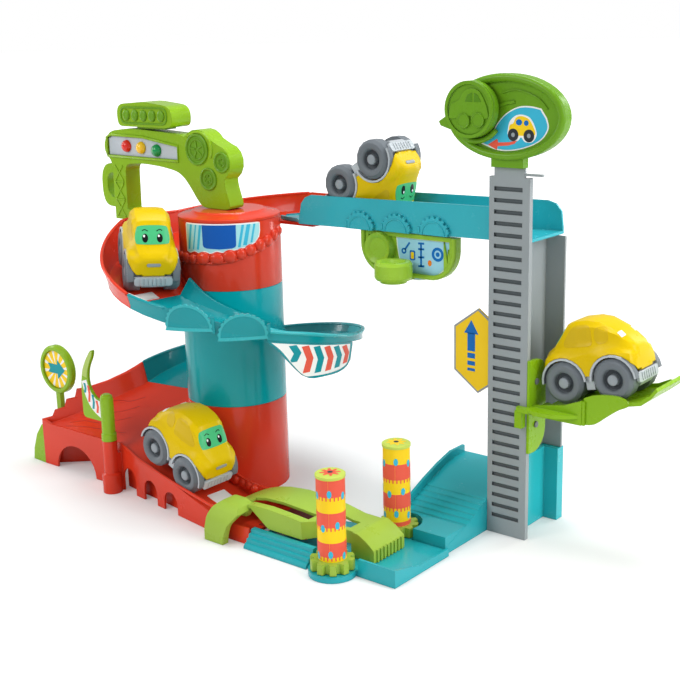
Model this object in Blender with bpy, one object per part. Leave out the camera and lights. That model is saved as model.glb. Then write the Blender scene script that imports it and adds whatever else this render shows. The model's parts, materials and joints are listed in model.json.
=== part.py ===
"""Toy garage: a round column with a spiral track, a bridge, a lift tower, a car wash and four cars.

Sizes are in millimetres and are turned into metres when a mesh is made.
The origin is the column's axis where it meets the floor. +X runs along the bridge
to the lift tower, +Y runs to the back and +Z is up.
"""
import math

import bmesh
import bpy
from mathutils import Euler, Matrix, Vector

MM = 0.001
GAP = 0.3
SMOOTH_ANGLE = math.radians(38)

# Column
COLUMN_R = 57.0
COLUMN_WALL = 2.5
COLUMN_FLOOR = 2.5
LOWER_TOP = 104.0
MIDDLE_TOP = 236.0
UPPER_TOP = 311.0
CAP_HEIGHT = 8.0
COLUMN_SIDES = 40

# Spiral track: floor heights by angle, 90 is the back, 270 the front
TRACK_R_OUT = 138.5
TRACK_WALL = 2.4
TRACK_FLOOR = 3.0
TRACK_LEAN = 6.0
INNER_WALL_H = 6.0
RUN_IN = 74.0
RED_END = 263.0
TEAL_END = 547.0
EXIT_ANGLE = 630.0
EXIT_END_X = 142.0
FLOOR_HEIGHTS = ((60, 299), (90, 299), (130, 289), (180, 268), (230, 248), (278, 226), (345, 196),
                 (400, 170), (450, 148), (500, 124), (547, 99))
RIM_HEIGHTS = ((60, 320), (90, 320), (130, 309), (160, 300), (195, 300), (230, 271), (263, 245),
               (284, 237), (326, 211), (345, 203), (372, 187), (400, 178), (450, 158), (500, 137),
               (547, 123))

# Lower turn: it opens to a station at its left and runs out straight at the front
STATION_CORNER = (-232.0, -106.0)
STATION_RIGHT = (-100.0, -106.0)
FRONT_START = (-85.0, -109.0)
FRONT_END = (100.0, -137.0)
SKIRT_ARCH = 12.5
SKIRT_DEPTH = 11.0
INNER_HEIGHTS = ((547, 99), (600, 60), (630, 40), (645, 31), (660, 23), (675, 17), (690, 14), (705, 12.5),
                 (760, 12))
OUTER_HEIGHTS = ((547, 99), (552, 90), (556, 80), (560, 68), (564.6, 50), (575, 50), (587, 51), (592, 51.5),
                 (600, 48), (615, 40), (630, 32), (645, 25), (660, 20), (675, 16), (690, 13.5),
                 (705, 12.5), (760, 12))
LOWER_RIMS = ((547, 123), (559.3, 95), (560.7, 93.5), (561.0, 83), (562.0, 81), (562.3, 71), (563.3, 68),
              (563.6, 60), (564.6, 57), (566, 53), (586.7, 53), (592, 57), (606, 47), (630, 39), (660, 30.5),
              (690, 22), (705, 19), (760, 18))
WALL_ON_RAY = ((547, 2.4), (549, 5.0), (564.6, 5.9), (575, 4.6), (586.7, 3.4), (592, 2.5), (700, 2.4))

BALCONY_BULGE = 8.0
BALCONY_ANGLE = 388.0
HALF_GEAR_STEPS = (32.0, 55.0)
HALF_GEAR_R = 25.0

# Bridge and tower
BRIDGE_FRONT = 47.0
BRIDGE_WIDTH = 66.0
BRIDGE_WALL = 2.6
BRIDGE_LEFT = 16.0
BRIDGE_WALL_START = 62.0
BRIDGE_FLOOR = 3.0
BRIDGE_RISE = 6.0
BRIDGE_WALL_H = 30.0
TOWER_LEFT = 317.0
TOWER_WIDTH = 45.0
BRIDGE_RIGHT = TOWER_LEFT + TOWER_WIDTH - 4.0
TOWER_FRONT = 38.0
TOWER_PLATE = 3.0
TOWER_FLANGE = 6.0
TOWER_SHOULDER = 369.0
NECK_TOP = TOWER_SHOULDER + 9.0
SLOT_COUNT = 31
SLOT_PITCH = 11.25
SLOT_HEIGHT = 4.0
SLOT_LENGTH = 31.5
SLOT_TOP = TOWER_SHOULDER - 11.7
SLOT_DEPTH = 2.2
WEB_X = TOWER_LEFT + 21.0
FOOT_TOP = 80.0

# Sign on the tower
SIGN_X = TOWER_LEFT + 21.0
SIGN_Z = NECK_TOP + 48.0
SIGN_HALF_W = 64.0
SIGN_HALF_H = 40.0
SIGN_THICK = 13.0
SIGN_KNOB_X = SIGN_X - 32.0
SIGN_KNOB_Z = SIGN_Z + 7.0
SIGN_KNOB_R = 27.0
ARROW_X = TOWER_LEFT - 16.0

# Base with car wash and ramp
BASE_RIGHT = 321.0
BASE_FRONT = -128.0
BASE_BACK = -38.0
BASE_FLOOR = 6.0
BASE_WALL = 3.0
BASE_WALL_H = 18.0
STUB_LEFT = 277.0
RAMP_LEFT = 240.0
RAMP_RIGHT = TOWER_LEFT - GAP
RAMP_BACK = 112.0
RAMP_WALL_H = 8.0
ROLLER_X = 252.0
ROLLER_Y = (-136.0, -31.0)
ROLLER_R = 14.0
ROLLER_TOP = 104.0
GEAR_R = 22.0
GEAR_TEETH = 10
GEAR_LOW = 6.6
GEAR_HIGH = 17.0
LOBE_R = 24.0
PIN_R = 3.0

# Lift
HINGE_X = TOWER_LEFT + TOWER_WIDTH + 10.0
HINGE_Z = 138.0

# Cars
CAR_LENGTH = 100.0
CAR_WIDTH = 59.0
WHEEL_R = 21.0
WHEEL_WIDTH = 16.0
WHEEL_BASE = 53.0
AXLE_R = 2.4
WELL_GAP = 1.3
ARCH_BAND = 2.2


def interpolate(table, value):
    """Height from a table of (angle, height) with smooth steps between the rows."""
    if value <= table[0][0]:
        return table[0][1]
    for (a, low), (b, high) in zip(table, table[1:]):
        if value <= b:
            return low + (high - low) * (value - a) / (b - a)
    return table[-1][1]


def material(name, colour, roughness=0.3, metallic=0.0):
    made = bpy.data.materials.get(name)
    if made:
        return made
    made = bpy.data.materials.new(name)
    made.use_nodes = True
    shader = made.node_tree.nodes["Principled BSDF"]
    shader.inputs["Base Color"].default_value = (*colour, 1.0)
    shader.inputs["Roughness"].default_value = roughness
    shader.inputs["Metallic"].default_value = metallic
    return made


def red():
    return material("red_plastic", (0.75, 0.07, 0.035))


def teal():
    return material("teal_plastic", (0.0, 0.36, 0.42))


def green():
    return material("lime_plastic", (0.33, 0.55, 0.03))


def grey():
    return material("grey_plastic", (0.36, 0.39, 0.40), 0.4)


def mesh_object(name, points, faces, finish, at=(0, 0, 0), parent=None):
    """Closed mesh in millimetres, turned so that its faces point out."""
    mesh = bpy.data.meshes.new(name)
    made = bmesh.new()
    corners = [made.verts.new(Vector(p) * MM) for p in points]
    for face in faces:
        made.faces.new([corners[i] for i in face])
    bmesh.ops.recalc_face_normals(made, faces=made.faces)
    made.to_mesh(mesh)
    made.free()
    mesh.materials.append(finish)
    mesh.shade_smooth()
    mesh.set_sharp_from_angle(angle=SMOOTH_ANGLE)
    thing = bpy.data.objects.new(name, mesh)
    bpy.context.scene.collection.objects.link(thing)
    thing.location = Vector(at) * MM
    thing.parent = parent
    return thing


def loft(name, loops, finish, at=(0, 0, 0), parent=None):
    """Skin over a row of loops with the same number of points, with both ends closed."""
    count = len(loops[0])
    points = [p for loop in loops for p in loop]
    faces = [list(range(count)), [len(points) - 1 - i for i in range(count)]]
    for row in range(len(loops) - 1):
        for i in range(count):
            j = (i + 1) % count
            a, b = row * count, (row + 1) * count
            faces.append([a + i, a + j, b + j, b + i])
    return mesh_object(name, points, faces, finish, at, parent)


def prism(name, outline, axis, low, high, finish, at=(0, 0, 0), parent=None):
    """Outline of two coordinates extruded along x, y or z."""
    place = {"x": lambda u, v, w: (w, u, v),
             "y": lambda u, v, w: (u, w, v),
             "z": lambda u, v, w: (u, v, w)}[axis]
    loops = [[place(u, v, w) for u, v in outline] for w in (low, high)]
    return loft(name, loops, finish, at, parent)


def box(name, low, high, finish, at=(0, 0, 0), parent=None):
    outline = [(low[0], low[1]), (high[0], low[1]), (high[0], high[1]), (low[0], high[1])]
    return prism(name, outline, "z", low[2], high[2], finish, at, parent)


def turn(name, profile, sides, finish, at=(0, 0, 0), axis="z", parent=None, twist=0.0):
    """Profile of (radius, height) turned about an axis; radius 0 only at its two ends."""
    place = {"z": lambda x, y, h: (x, y, h), "y": lambda x, y, h: (x, h, y)}[axis]
    points = []
    rings = []
    for radius, height in profile:
        if radius == 0:
            rings.append([len(points)] * sides)
            points.append(place(0, 0, height))
            continue
        rings.append(list(range(len(points), len(points) + sides)))
        for i in range(sides):
            angle = math.tau * i / sides + twist
            points.append(place(radius * math.cos(angle), radius * math.sin(angle), height))
    faces = []
    closed = profile[0][0] > 0 and profile[-1][0] > 0
    pairs = list(zip(rings, rings[1:]))
    if closed:
        pairs.append((rings[-1], rings[0]))
    for one, two in pairs:
        for i in range(sides):
            j = (i + 1) % sides
            corner = []
            for index in (one[i], one[j], two[j], two[i]):
                if index not in corner:
                    corner.append(index)
            if len(corner) > 2:
                faces.append(corner)
    return mesh_object(name, points, faces, finish, at, parent)


def ring_outline(radius_x, radius_y, sides, centre=(0, 0), start=0.0, end=math.tau):
    """Points of an ellipse, or of an arc of it."""
    full = abs(end - start - math.tau) < 1e-6
    steps = sides if full else sides - 1
    return [(centre[0] + radius_x * math.cos(start + (end - start) * i / steps),
             centre[1] + radius_y * math.sin(start + (end - start) * i / steps))
            for i in range(sides)]


def soft(outline, radius, steps=3, keep=lambda point: False):
    """Outline with its corners rounded, apart from those that keep names."""
    out = []
    count = len(outline)
    for i, point in enumerate(outline):
        if keep(point):
            out.append(point)
            continue
        before, after = outline[i - 1], outline[(i + 1) % count]
        ends = []
        for other in (before, after):
            size = math.dist(point, other)
            part = min(radius, 0.45 * size) / size
            ends.append((point[0] + (other[0] - point[0]) * part, point[1] + (other[1] - point[1]) * part))
        for k in range(steps + 1):
            t = k / steps
            out.append(tuple((1 - t) ** 2 * a + 2 * t * (1 - t) * b + t * t * c
                             for a, b, c in zip(ends[0], point, ends[1])))
    return out


def gear_outline(radius, depth, teeth, centre=(0, 0)):
    """Round-shouldered gear: four points a tooth."""
    points = []
    for tooth in range(teeth):
        for share, reach in ((0.0, radius - depth), (0.28, radius - depth), (0.42, radius), (0.86, radius)):
            angle = math.tau * (tooth + share) / teeth
            points.append((centre[0] + reach * math.cos(angle), centre[1] + reach * math.sin(angle)))
    return points


def combine(target, helper, operation):
    """Boolean of a helper object, which is hidden and only shapes the target."""
    helper.hide_render = True
    helper.display_type = "WIRE"
    step = target.modifiers.new(helper.name, "BOOLEAN")
    step.operation = operation
    step.solver = "EXACT"
    step.object = helper
    return target


def cut(target, *helpers):
    for helper in helpers:
        combine(target, helper, "DIFFERENCE")
    return target


def fuse(target, *helpers):
    for helper in helpers:
        combine(target, helper, "UNION")
    return target


# Column

def build_column():
    inner = COLUMN_R - COLUMN_WALL
    turn("lower_column", [(0, 0), (COLUMN_R, 0), (COLUMN_R, LOWER_TOP), (inner, LOWER_TOP),
                          (inner, COLUMN_FLOOR), (0, COLUMN_FLOOR)], COLUMN_SIDES, red())
    turn("middle_column", [(COLUMN_R, LOWER_TOP + GAP), (COLUMN_R, MIDDLE_TOP), (inner, MIDDLE_TOP),
                           (inner, LOWER_TOP + GAP)], COLUMN_SIDES, teal())
    turn("upper_column", [(COLUMN_R, MIDDLE_TOP + GAP), (COLUMN_R, UPPER_TOP), (inner, UPPER_TOP),
                          (inner, MIDDLE_TOP + GAP)], COLUMN_SIDES, red())
    base = UPPER_TOP + GAP
    turn("column_cap", [(0, base), (COLUMN_R, base), (COLUMN_R, base + 2.5), (COLUMN_R - 3, base + 4),
                        (44, base + 5), (40, base + CAP_HEIGHT), (0, base + CAP_HEIGHT)],
         COLUMN_SIDES, red())


# Spiral track

def track_point(angle, radius, height):
    """Point across the track; before 90 and after 630 the track runs straight."""
    if angle < 90:
        return (RUN_IN * (90 - angle) / 30, radius, height)
    if angle > EXIT_ANGLE:
        return ((angle - EXIT_ANGLE) * 1.37, -radius, height)
    turned = math.radians(angle)
    return (radius * math.cos(turned), radius * math.sin(turned), height)


def exit_angle(x):
    """Track angle that stands for a place on the straight exit."""
    return EXIT_ANGLE + x / 1.37


def outer_radius(angle):
    away = abs(angle - BALCONY_ANGLE)
    if away >= 62:
        return TRACK_R_OUT
    return TRACK_R_OUT + BALCONY_BULGE * math.cos(math.radians(away * 90 / 62))


def half_gears():
    """Angles of the half wheels on the middle turn's rim, counted from its joint."""
    return [RED_END + step for step in HALF_GEAR_STEPS]


def rim_height(angle):
    height = interpolate(RIM_HEIGHTS, angle)
    for centre in half_gears():
        along = math.radians(angle - centre) * TRACK_R_OUT
        if abs(along) < HALF_GEAR_R:
            height = max(height, interpolate(FLOOR_HEIGHTS, centre) - 2
                         + math.sqrt(HALF_GEAR_R ** 2 - along ** 2))
    return height


def track_section(angle, inner_wall, skirt):
    """Channel across the track: floor, low inner wall, outer wall and a skirt to the ground."""
    floor = interpolate(FLOOR_HEIGHTS, angle)
    inner = COLUMN_R + 0.5
    outer = outer_radius(angle)
    under = floor - TRACK_FLOOR
    foot = 0.0 if skirt else under - 1.0
    rim = rim_height(angle)
    lean = TRACK_LEAN * min(1.0, (rim - floor) / 20.0)
    across = [(inner, under), (outer - TRACK_WALL, under), (outer - TRACK_WALL, foot), (outer, foot),
              (outer, floor), (outer + lean, rim), (outer + lean - TRACK_WALL, rim),
              (outer - TRACK_WALL, floor), (inner + TRACK_WALL, floor),
              (inner + TRACK_WALL, floor + inner_wall), (inner, floor + inner_wall)]
    return [track_point(angle, radius, height) for radius, height in across]


def track(name, angles, finish, inner_wall=lambda angle: INNER_WALL_H, skirt_from=None):
    loops = []
    for angle in angles:
        if skirt_from is not None and abs(angle - skirt_from) < 1e-6:
            loops.append(track_section(angle - 0.2, inner_wall(angle), False))
        skirted = skirt_from is not None and angle >= skirt_from
        loops.append(track_section(angle, inner_wall(angle), skirted))
    return loft(name, loops, finish)


def stations(start, end, step, *extra):
    """Angles from start to end at about one step, with the extra ones put in."""
    count = max(1, round((end - start) / step))
    angles = {round(start + (end - start) * i / count, 3) for i in range(count + 1)}
    angles |= {round(a, 3) for a in extra}
    return sorted(angles)


def build_tracks():
    gap_angle = math.degrees(GAP / TRACK_R_OUT) * 1.6
    track("upper_track", stations(60, 90, 10) + stations(98, RED_END, 8.25), red(),
          lambda angle: 0.3 if angle < 90 else INNER_WALL_H)
    gears = [c + d for c in half_gears() for d in (-11, -9, -6, -3, 0, 3, 6, 9, 11)]
    track("middle_track", stations(RED_END + gap_angle, TEAL_END, 9, *gears), teal())
    build_balcony_screen()
    build_lower_track(gap_angle)


def build_balcony_screen():
    """Hanging panel under the balcony, curved with the track's edge."""
    low = ((328.5, 198), (334, 185), (339.3, 168.5), (345, 154), (349, 151), (363, 149.5), (370, 151.5), (374, 158),
           (376.5, 174))
    loops = []
    for angle in (328.5, 331, 334, 337, 340.5, 344, 347, 350, 355, 360, 364, 368, 371, 374, 376.5):
        outer = outer_radius(angle) - 0.4
        top = interpolate(FLOOR_HEIGHTS, angle) - TRACK_FLOOR - 1.0 - GAP
        bottom = interpolate(low, angle)
        loops.append([track_point(angle, r, z) for r, z in
                      ((outer - 2.6, bottom), (outer, bottom), (outer, top), (outer - 2.6, top))])
    loft("balcony_screen", loops, teal())


def line_distance(start, end, direction):
    """Distance from the origin to the line from start to end, along a direction."""
    run = (end[0] - start[0], end[1] - start[1])
    return (start[0] * run[1] - start[1] * run[0]) / (direction[0] * run[1] - direction[1] * run[0])


def lower_outer(angle):
    """Distance of the lower turn's outer wall, or its place across the straight exit."""
    joint = math.radians(TEAL_END)
    corner = (TRACK_R_OUT * math.cos(joint), TRACK_R_OUT * math.sin(joint))
    if angle > EXIT_ANGLE:
        x = min((angle - EXIT_ANGLE) * 1.37, FRONT_END[0])
        slope = (FRONT_END[1] - FRONT_START[1]) / (FRONT_END[0] - FRONT_START[0])
        return -(FRONT_START[1] + slope * (x - FRONT_START[0]))
    direction = (math.cos(math.radians(angle)), math.sin(math.radians(angle)))
    if angle <= 564.56:
        return line_distance(corner, STATION_CORNER, direction)
    if angle <= 586.67:
        return line_distance(STATION_CORNER, STATION_RIGHT, direction)
    if angle <= 592.05:
        return line_distance(STATION_RIGHT, FRONT_START, direction)
    return line_distance(FRONT_START, FRONT_END, direction)


def lower_section(angle, skirt):
    inner = COLUMN_R + 0.5
    inner_floor = interpolate(INNER_HEIGHTS, angle)
    floor = interpolate(OUTER_HEIGHTS, angle)
    rim = interpolate(LOWER_RIMS, angle)
    outer = lower_outer(angle)
    wall = interpolate(WALL_ON_RAY, angle)
    lean = TRACK_LEAN * max(0.0, (556 - angle) / 9.0)
    foot = 0.0 if skirt else floor - TRACK_FLOOR - 1.0
    low_wall = 14.0 if angle > 640 else INNER_WALL_H
    across = [(inner, inner_floor - TRACK_FLOOR), (outer - wall, floor - TRACK_FLOOR), (outer - wall, foot),
              (outer, foot), (outer, floor), (outer + lean, rim), (outer + lean - wall, rim),
              (outer - wall, floor), (inner + TRACK_WALL, inner_floor),
              (inner + TRACK_WALL, inner_floor + low_wall), (inner, inner_floor + low_wall)]
    return [track_point(angle, radius, height) for radius, height in across]


def build_lower_track(gap_angle):
    """Lower turn, station floor and exit in one piece, with its walls down to the ground."""
    start = TEAL_END + gap_angle
    angles = [start, 549, 552, 556, 559.3, 560.7, 561.0, 562.0, 562.3, 563.3, 563.6, 564.56, 566, 570, 575, 581,
              586.67, 589, 592.05, 597, 603, 609, 615, 622.5, 630]
    angles += stations(637, exit_angle(EXIT_END_X), 9.5, exit_angle(FRONT_END[0]))
    loops = [lower_section(start, False), lower_section(547.9, False)]
    loops += [lower_section(angle, True) for angle in [548.1] + angles[1:]]
    body = loft("lower_track", loops, red())
    plate = []
    for angle in (596, 602, 609, 616, 623, 630, 637, 645, exit_angle(30)):
        outer = lower_outer(angle)
        low, high = interpolate(OUTER_HEIGHTS, angle), interpolate(INNER_HEIGHTS, angle)
        top = low + (high - low) * SKIRT_DEPTH / (outer - COLUMN_R) - TRACK_FLOOR / 2
        plate.append([track_point(angle, r, z) for r, z in
                      ((outer - SKIRT_DEPTH - 2, 0), (outer - SKIRT_DEPTH, 0), (outer - SKIRT_DEPTH, top),
                       (outer - SKIRT_DEPTH - 2, top))])
    fuse(body, loft("skirt_plate", plate, red()))
    for number, (x, height) in enumerate(((-69.0, 29.0), (-27.0, 26.0), (12.0, 23.0))):
        y = FRONT_START[1] - 0.1514 * (x - FRONT_START[0])
        outline = [(-SKIRT_ARCH, -5), (SKIRT_ARCH, -5)]
        outline += ring_outline(SKIRT_ARCH, SKIRT_ARCH, 11, (0, height - SKIRT_ARCH), 0, math.pi)
        cut(body, prism(f"skirt_arch_{number}", outline, "y", -8, 8, red(), (x, y, 0)))
    wide = prism("station_arch", [(-208, -5), (-136, -5)] + ring_outline(36, 33, 15, (-172, 0), 0, math.pi),
                 "y", STATION_CORNER[1] - 5, STATION_CORNER[1] + 8, red())
    cut(body, wide)
    web = box("pillar_web", (GATE_X - 7, GATE_Y, 0), (GATE_X + 7, GATE_Y + 12, 46), red())
    pillar = turn("gate_pillar", [(0, 0), (PILLAR_R + 2.6, 0), (PILLAR_R + 2.6, 22), (PILLAR_R, 24),
                                  (PILLAR_R, GATE_PILLAR_TOP), (3.5, GATE_PILLAR_TOP), (3.5, 110), (0, 110)],
                  20, red(), (GATE_X, GATE_Y, 0))
    fuse(body, web, pillar)


# Gate and round sign

GATE_X = -90.0
GATE_Y = -119.5
GATE_PILLAR_TOP = 62.0
PILLAR_R = 8.4
ROUND_SIGN_X = -224.0
ROUND_SIGN_Y = -82.0


def build_gate():
    """Flap that swings on the platform's corner pillar."""
    low = GATE_PILLAR_TOP + GAP
    sleeve = turn("gate_flap", [(3.8, low), (8.6, low), (8.6, low + 8), (7.6, low + 9), (7.6, 111), (6.4, 115), (4, 117), (0, 117),
                                  (0, 110.4), (3.8, 110.4)],
                  20, green(), (GATE_X, GATE_Y, 0))
    shape = [(-5.5, 83), (-5.5, 106), (-16, 109), (-25, 117), (-29, 130), (-26, 145), (-18, 158), (-16, 166),
             (-21, 165), (-32, 150), (-39, 133), (-41, 120), (-41, 83)]
    flap = prism("gate_leaf", soft(shape, 6, 3, lambda p: p[0] > -6), "y", -1.6, 1.6, green(), (GATE_X, GATE_Y, 0))
    fuse(sleeve, flap)


def build_round_sign():
    """Round sign on its own post and foot, close outside the station's slanting wall."""
    joint = math.radians(TEAL_END)
    run = Vector((TRACK_R_OUT * math.cos(joint) - STATION_CORNER[0],
                  TRACK_R_OUT * math.sin(joint) - STATION_CORNER[1])).normalized()
    near = (STATION_CORNER[0] - run.y * GAP, STATION_CORNER[1] + run.x * GAP)
    far = (near[0] + run.x * 18, near[1] + run.y * 18)
    plan = [(-262, -96), (-257, -104.5), (near[0] - 3, near[1]), near, far, (-219, -78), (-256, -82)]
    loops = []
    for z, share in ((0, 1.0), (14, 0.96), (32, 0.82), (44, 0.62), (50, 0.36)):
        loops.append([(ROUND_SIGN_X - 5 + (x - ROUND_SIGN_X + 5) * share,
                       ROUND_SIGN_Y - 4 + (y - ROUND_SIGN_Y + 4) * share, z) for x, y in plan])
    body = loft("round_sign", loops, green())
    post = box("round_sign_post", (ROUND_SIGN_X - 4, ROUND_SIGN_Y - 3, 40), (ROUND_SIGN_X + 4, ROUND_SIGN_Y + 3, 91.5),
               green())
    rim = turn("round_sign_rim", [(24, -5), (28, -5), (30, -3), (30, 3), (28, 5), (24, 5)], 36, green(),
               (ROUND_SIGN_X, ROUND_SIGN_Y, 116), "y")
    fuse(body, post, rim)
    turn("round_sign_disc", [(0, -2), (23.7, -2), (23.7, 2), (0, 2)], 36,
         material("yellow_card", (0.85, 0.65, 0.05)), (ROUND_SIGN_X, ROUND_SIGN_Y, 116), "y")


# Base with the car wash, the deck and the ramp

def build_base():
    left = EXIT_END_X + GAP
    floor = [(left, BASE_FRONT), (BASE_RIGHT, BASE_FRONT), (BASE_RIGHT, BASE_BACK - GAP),
             (RAMP_LEFT, BASE_BACK - GAP), (RAMP_LEFT - 8, -28), (left, -57)]
    body = prism("corner_base", floor, "z", 0, BASE_FLOOR, teal())
    wall = box("base_wall", (STUB_LEFT, BASE_FRONT, 0), (BASE_RIGHT, BASE_FRONT + BASE_WALL, BASE_WALL_H), teal())
    curb = prism("base_curb", [(BASE_FRONT, 0), (BASE_FRONT, BASE_WALL_H), (-90, 12), (BASE_BACK - GAP, 11),
                               (BASE_BACK - GAP, 0)], "x", BASE_RIGHT - BASE_WALL, BASE_RIGHT, teal())
    fuse(body, wall, curb)
    for number, y in enumerate(ROLLER_Y):
        fuse(body, turn(f"roller_lobe_{number}", [(0, 0), (LOBE_R, 0), (LOBE_R, BASE_FLOOR), (0, BASE_FLOOR)], 28,
                        teal(), (ROLLER_X, y, 0)))
    strip = [(-146, 0), (-146, 2), (-144, 5), (-141.5, 5.6), (-141, 9), (-138, 9.6), (-137.5, 13),
             (-134.5, 13.6), (-134, 17), (BASE_FRONT - GAP, 17.6), (BASE_FRONT - GAP, 0)]
    prism("side_strip", strip, "x", left, 226, teal())


def build_ramp():
    """Ribbed ramp that climbs beside the tower, with a recess for the rear roller's gear."""
    top = [(BASE_BACK, BASE_FLOOR + 1), (-30, 10)]
    ribs = 9
    for number in range(ribs):
        y = -22 + number * 7.2
        z = interpolate(((-30, 10), (0, 18), (35, 33), (60, 42)), y)
        slope = 0.42
        top += [(y, z), (y + 0.6, z + 1.4), (y + 3.2, z + 1.4 + slope * 2.6), (y + 3.8, z + slope * 3.8)]
    top += [(52, 39), (72, 46), (92, 49.5), (RAMP_BACK, 50)]
    outline = [(BASE_BACK, 0)] + top + [(RAMP_BACK, 0)]
    body = prism("ramp", outline, "x", RAMP_LEFT, RAMP_RIGHT, teal())
    wall = [(-12, 0), (-12, 14), (0, 26), (35, 41), (60, 50), (86, 57), (RAMP_BACK, 57), (RAMP_BACK, 0)]
    inner = prism("ramp_inner_wall", wall, "x", RAMP_LEFT - 3, RAMP_LEFT + 0.5, teal())
    fuse(body, inner)
    recess = turn("ramp_recess", [(0, -5), (LOBE_R + 1.5, -5), (LOBE_R + 1.5, 80), (0, 80)], 32, teal(),
                  (ROLLER_X, ROLLER_Y[1], 0))
    cut(body, recess)


def build_rollers():
    for name, y in zip(("front", "rear"), ROLLER_Y):
        turn(f"{name}_roller_pin", [(0, BASE_FLOOR + GAP), (8, BASE_FLOOR + GAP), (8, GEAR_LOW - GAP + 0.01),
                                    (PIN_R, GEAR_LOW - GAP + 0.01), (PIN_R, ROLLER_TOP - 8), (0, ROLLER_TOP - 8)],
             12, grey(), (ROLLER_X, y, 0))
        bore = PIN_R + GAP
        tube = turn(f"{name}_roller", [(bore, GEAR_LOW + 2), (ROLLER_R, GEAR_LOW + 2), (ROLLER_R, ROLLER_TOP - 4),
                                       (bore, ROLLER_TOP - 4)], 24,
                    material("wash_print", (0.85, 0.25, 0.15)), (ROLLER_X, y, 0))
        gear = prism(f"{name}_gear", gear_outline(GEAR_R, 4.5, GEAR_TEETH), "z", GEAR_LOW, GEAR_HIGH, green(),
                     (ROLLER_X, y, 0))
        hole = turn(f"{name}_gear_bore", [(0, 0), (bore, 0), (bore, 30), (0, 30)], 12, green(), (ROLLER_X, y, 0))
        fuse(tube, gear)
        cut(tube, hole)
        turn(f"{name}_roller_cap", [(0, ROLLER_TOP - 4 + GAP), (ROLLER_R + 0.8, ROLLER_TOP - 4 + GAP),
                                    (ROLLER_R + 0.8, ROLLER_TOP - 1), (ROLLER_R - 1, ROLLER_TOP),
                                    (5, ROLLER_TOP), (0, ROLLER_TOP - 0.8)], 24, green(), (ROLLER_X, y, 0))


DECK_TOP = ((86, 22), (98, 28), (108, 32), (120, 36), (136, 39.5), (160, 40.5), (200, 38.5), (214, 36.5), (226, 34.2),
            (235, 32.6), (256, 32.3))


HOOD_LEFT = 93.0
BAR_LEFT = 252.0


def build_deck():
    """Arched deck over the exit, with a long slot, an end bar and a hood on the red wall."""
    loops = []
    for x in (87, 98, 108, 120, 136, 160, 185, 205, 214, 226, 235, 244, 256):
        top = interpolate(DECK_TOP, x)
        front = -127.0 if x < 206 else max(-127.0, min(-127.0 + (x - 206) * 1.6, -105.0))
        back = -64.0 if x < 142 else -61.0
        plate = 3.0 if x > 92 else 1.5
        under = max(top - plate, BASE_FLOOR + 1.0)
        low = max(min(under - 0.5, 19.0), BASE_FLOOR + GAP) if x > 142 else under - 0.5
        loops.append([(x, front, low), (x, front + 2.4, low), (x, front + 2.4, under), (x, back, under),
                      (x, back, top), (x, front, top)])
    body = loft("deck", loops, green())
    profile = [(-153, -1), (-153, 10), (-151, 24), (-146, 34), (-138, 40), (-128, 42.5), (-119, 42), (-119, 24),
               (-125, 24), (-128, 33), (-134, 33), (-140, 30), (-144.6, 24), (-144.6, -1)]
    hood = prism("deck_hood", profile, "x", HOOD_LEFT, HOOD_LEFT + 42, green())
    side = [(0, 0), (0, 14), (2, 28), (6, 36), (12, 41), (20, 43.5), (30, 42), (38, 38.5), (41, 33), (36.5, 27),
            (31, 20), (28, 12), (26.5, 6), (26, 0)]
    side = [(HOOD_LEFT + 0.5 + x, z) for x, z in side]
    combine(hood, prism("hood_side", side, "y", -156, -112, green()), "INTERSECT")
    fuse(body, hood)
    bar = [(BAR_LEFT, BASE_FLOOR + GAP), (BAR_LEFT, 31), (BAR_LEFT + 2, 32.4), (BAR_LEFT + 8, 32),
           (BAR_LEFT + 18, 27), (BAR_LEFT + 27, 20), (BAR_LEFT + 28, 18), (BAR_LEFT + 28, BASE_FLOOR + GAP)]
    fuse(body, prism("deck_bar", bar, "y", -107, -57, green()))
    ribs = []
    for number in range(8):
        y = -102.5 + number * 5.6
        ribs.append(box(f"bar_rib_{number}", (BAR_LEFT + 26, y, BASE_FLOOR + GAP), (BAR_LEFT + 29.4, y + 2.6, 19),
                        green()))
    fuse(body, *ribs)
    slot = box("deck_slot", (122, -117, 0), (206, -103, 60), green())
    window = box("deck_window", (217, -99, 0), (245, -82, 60), green())
    cut(body, slot, window)


# Tower, bridge and signs

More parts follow.
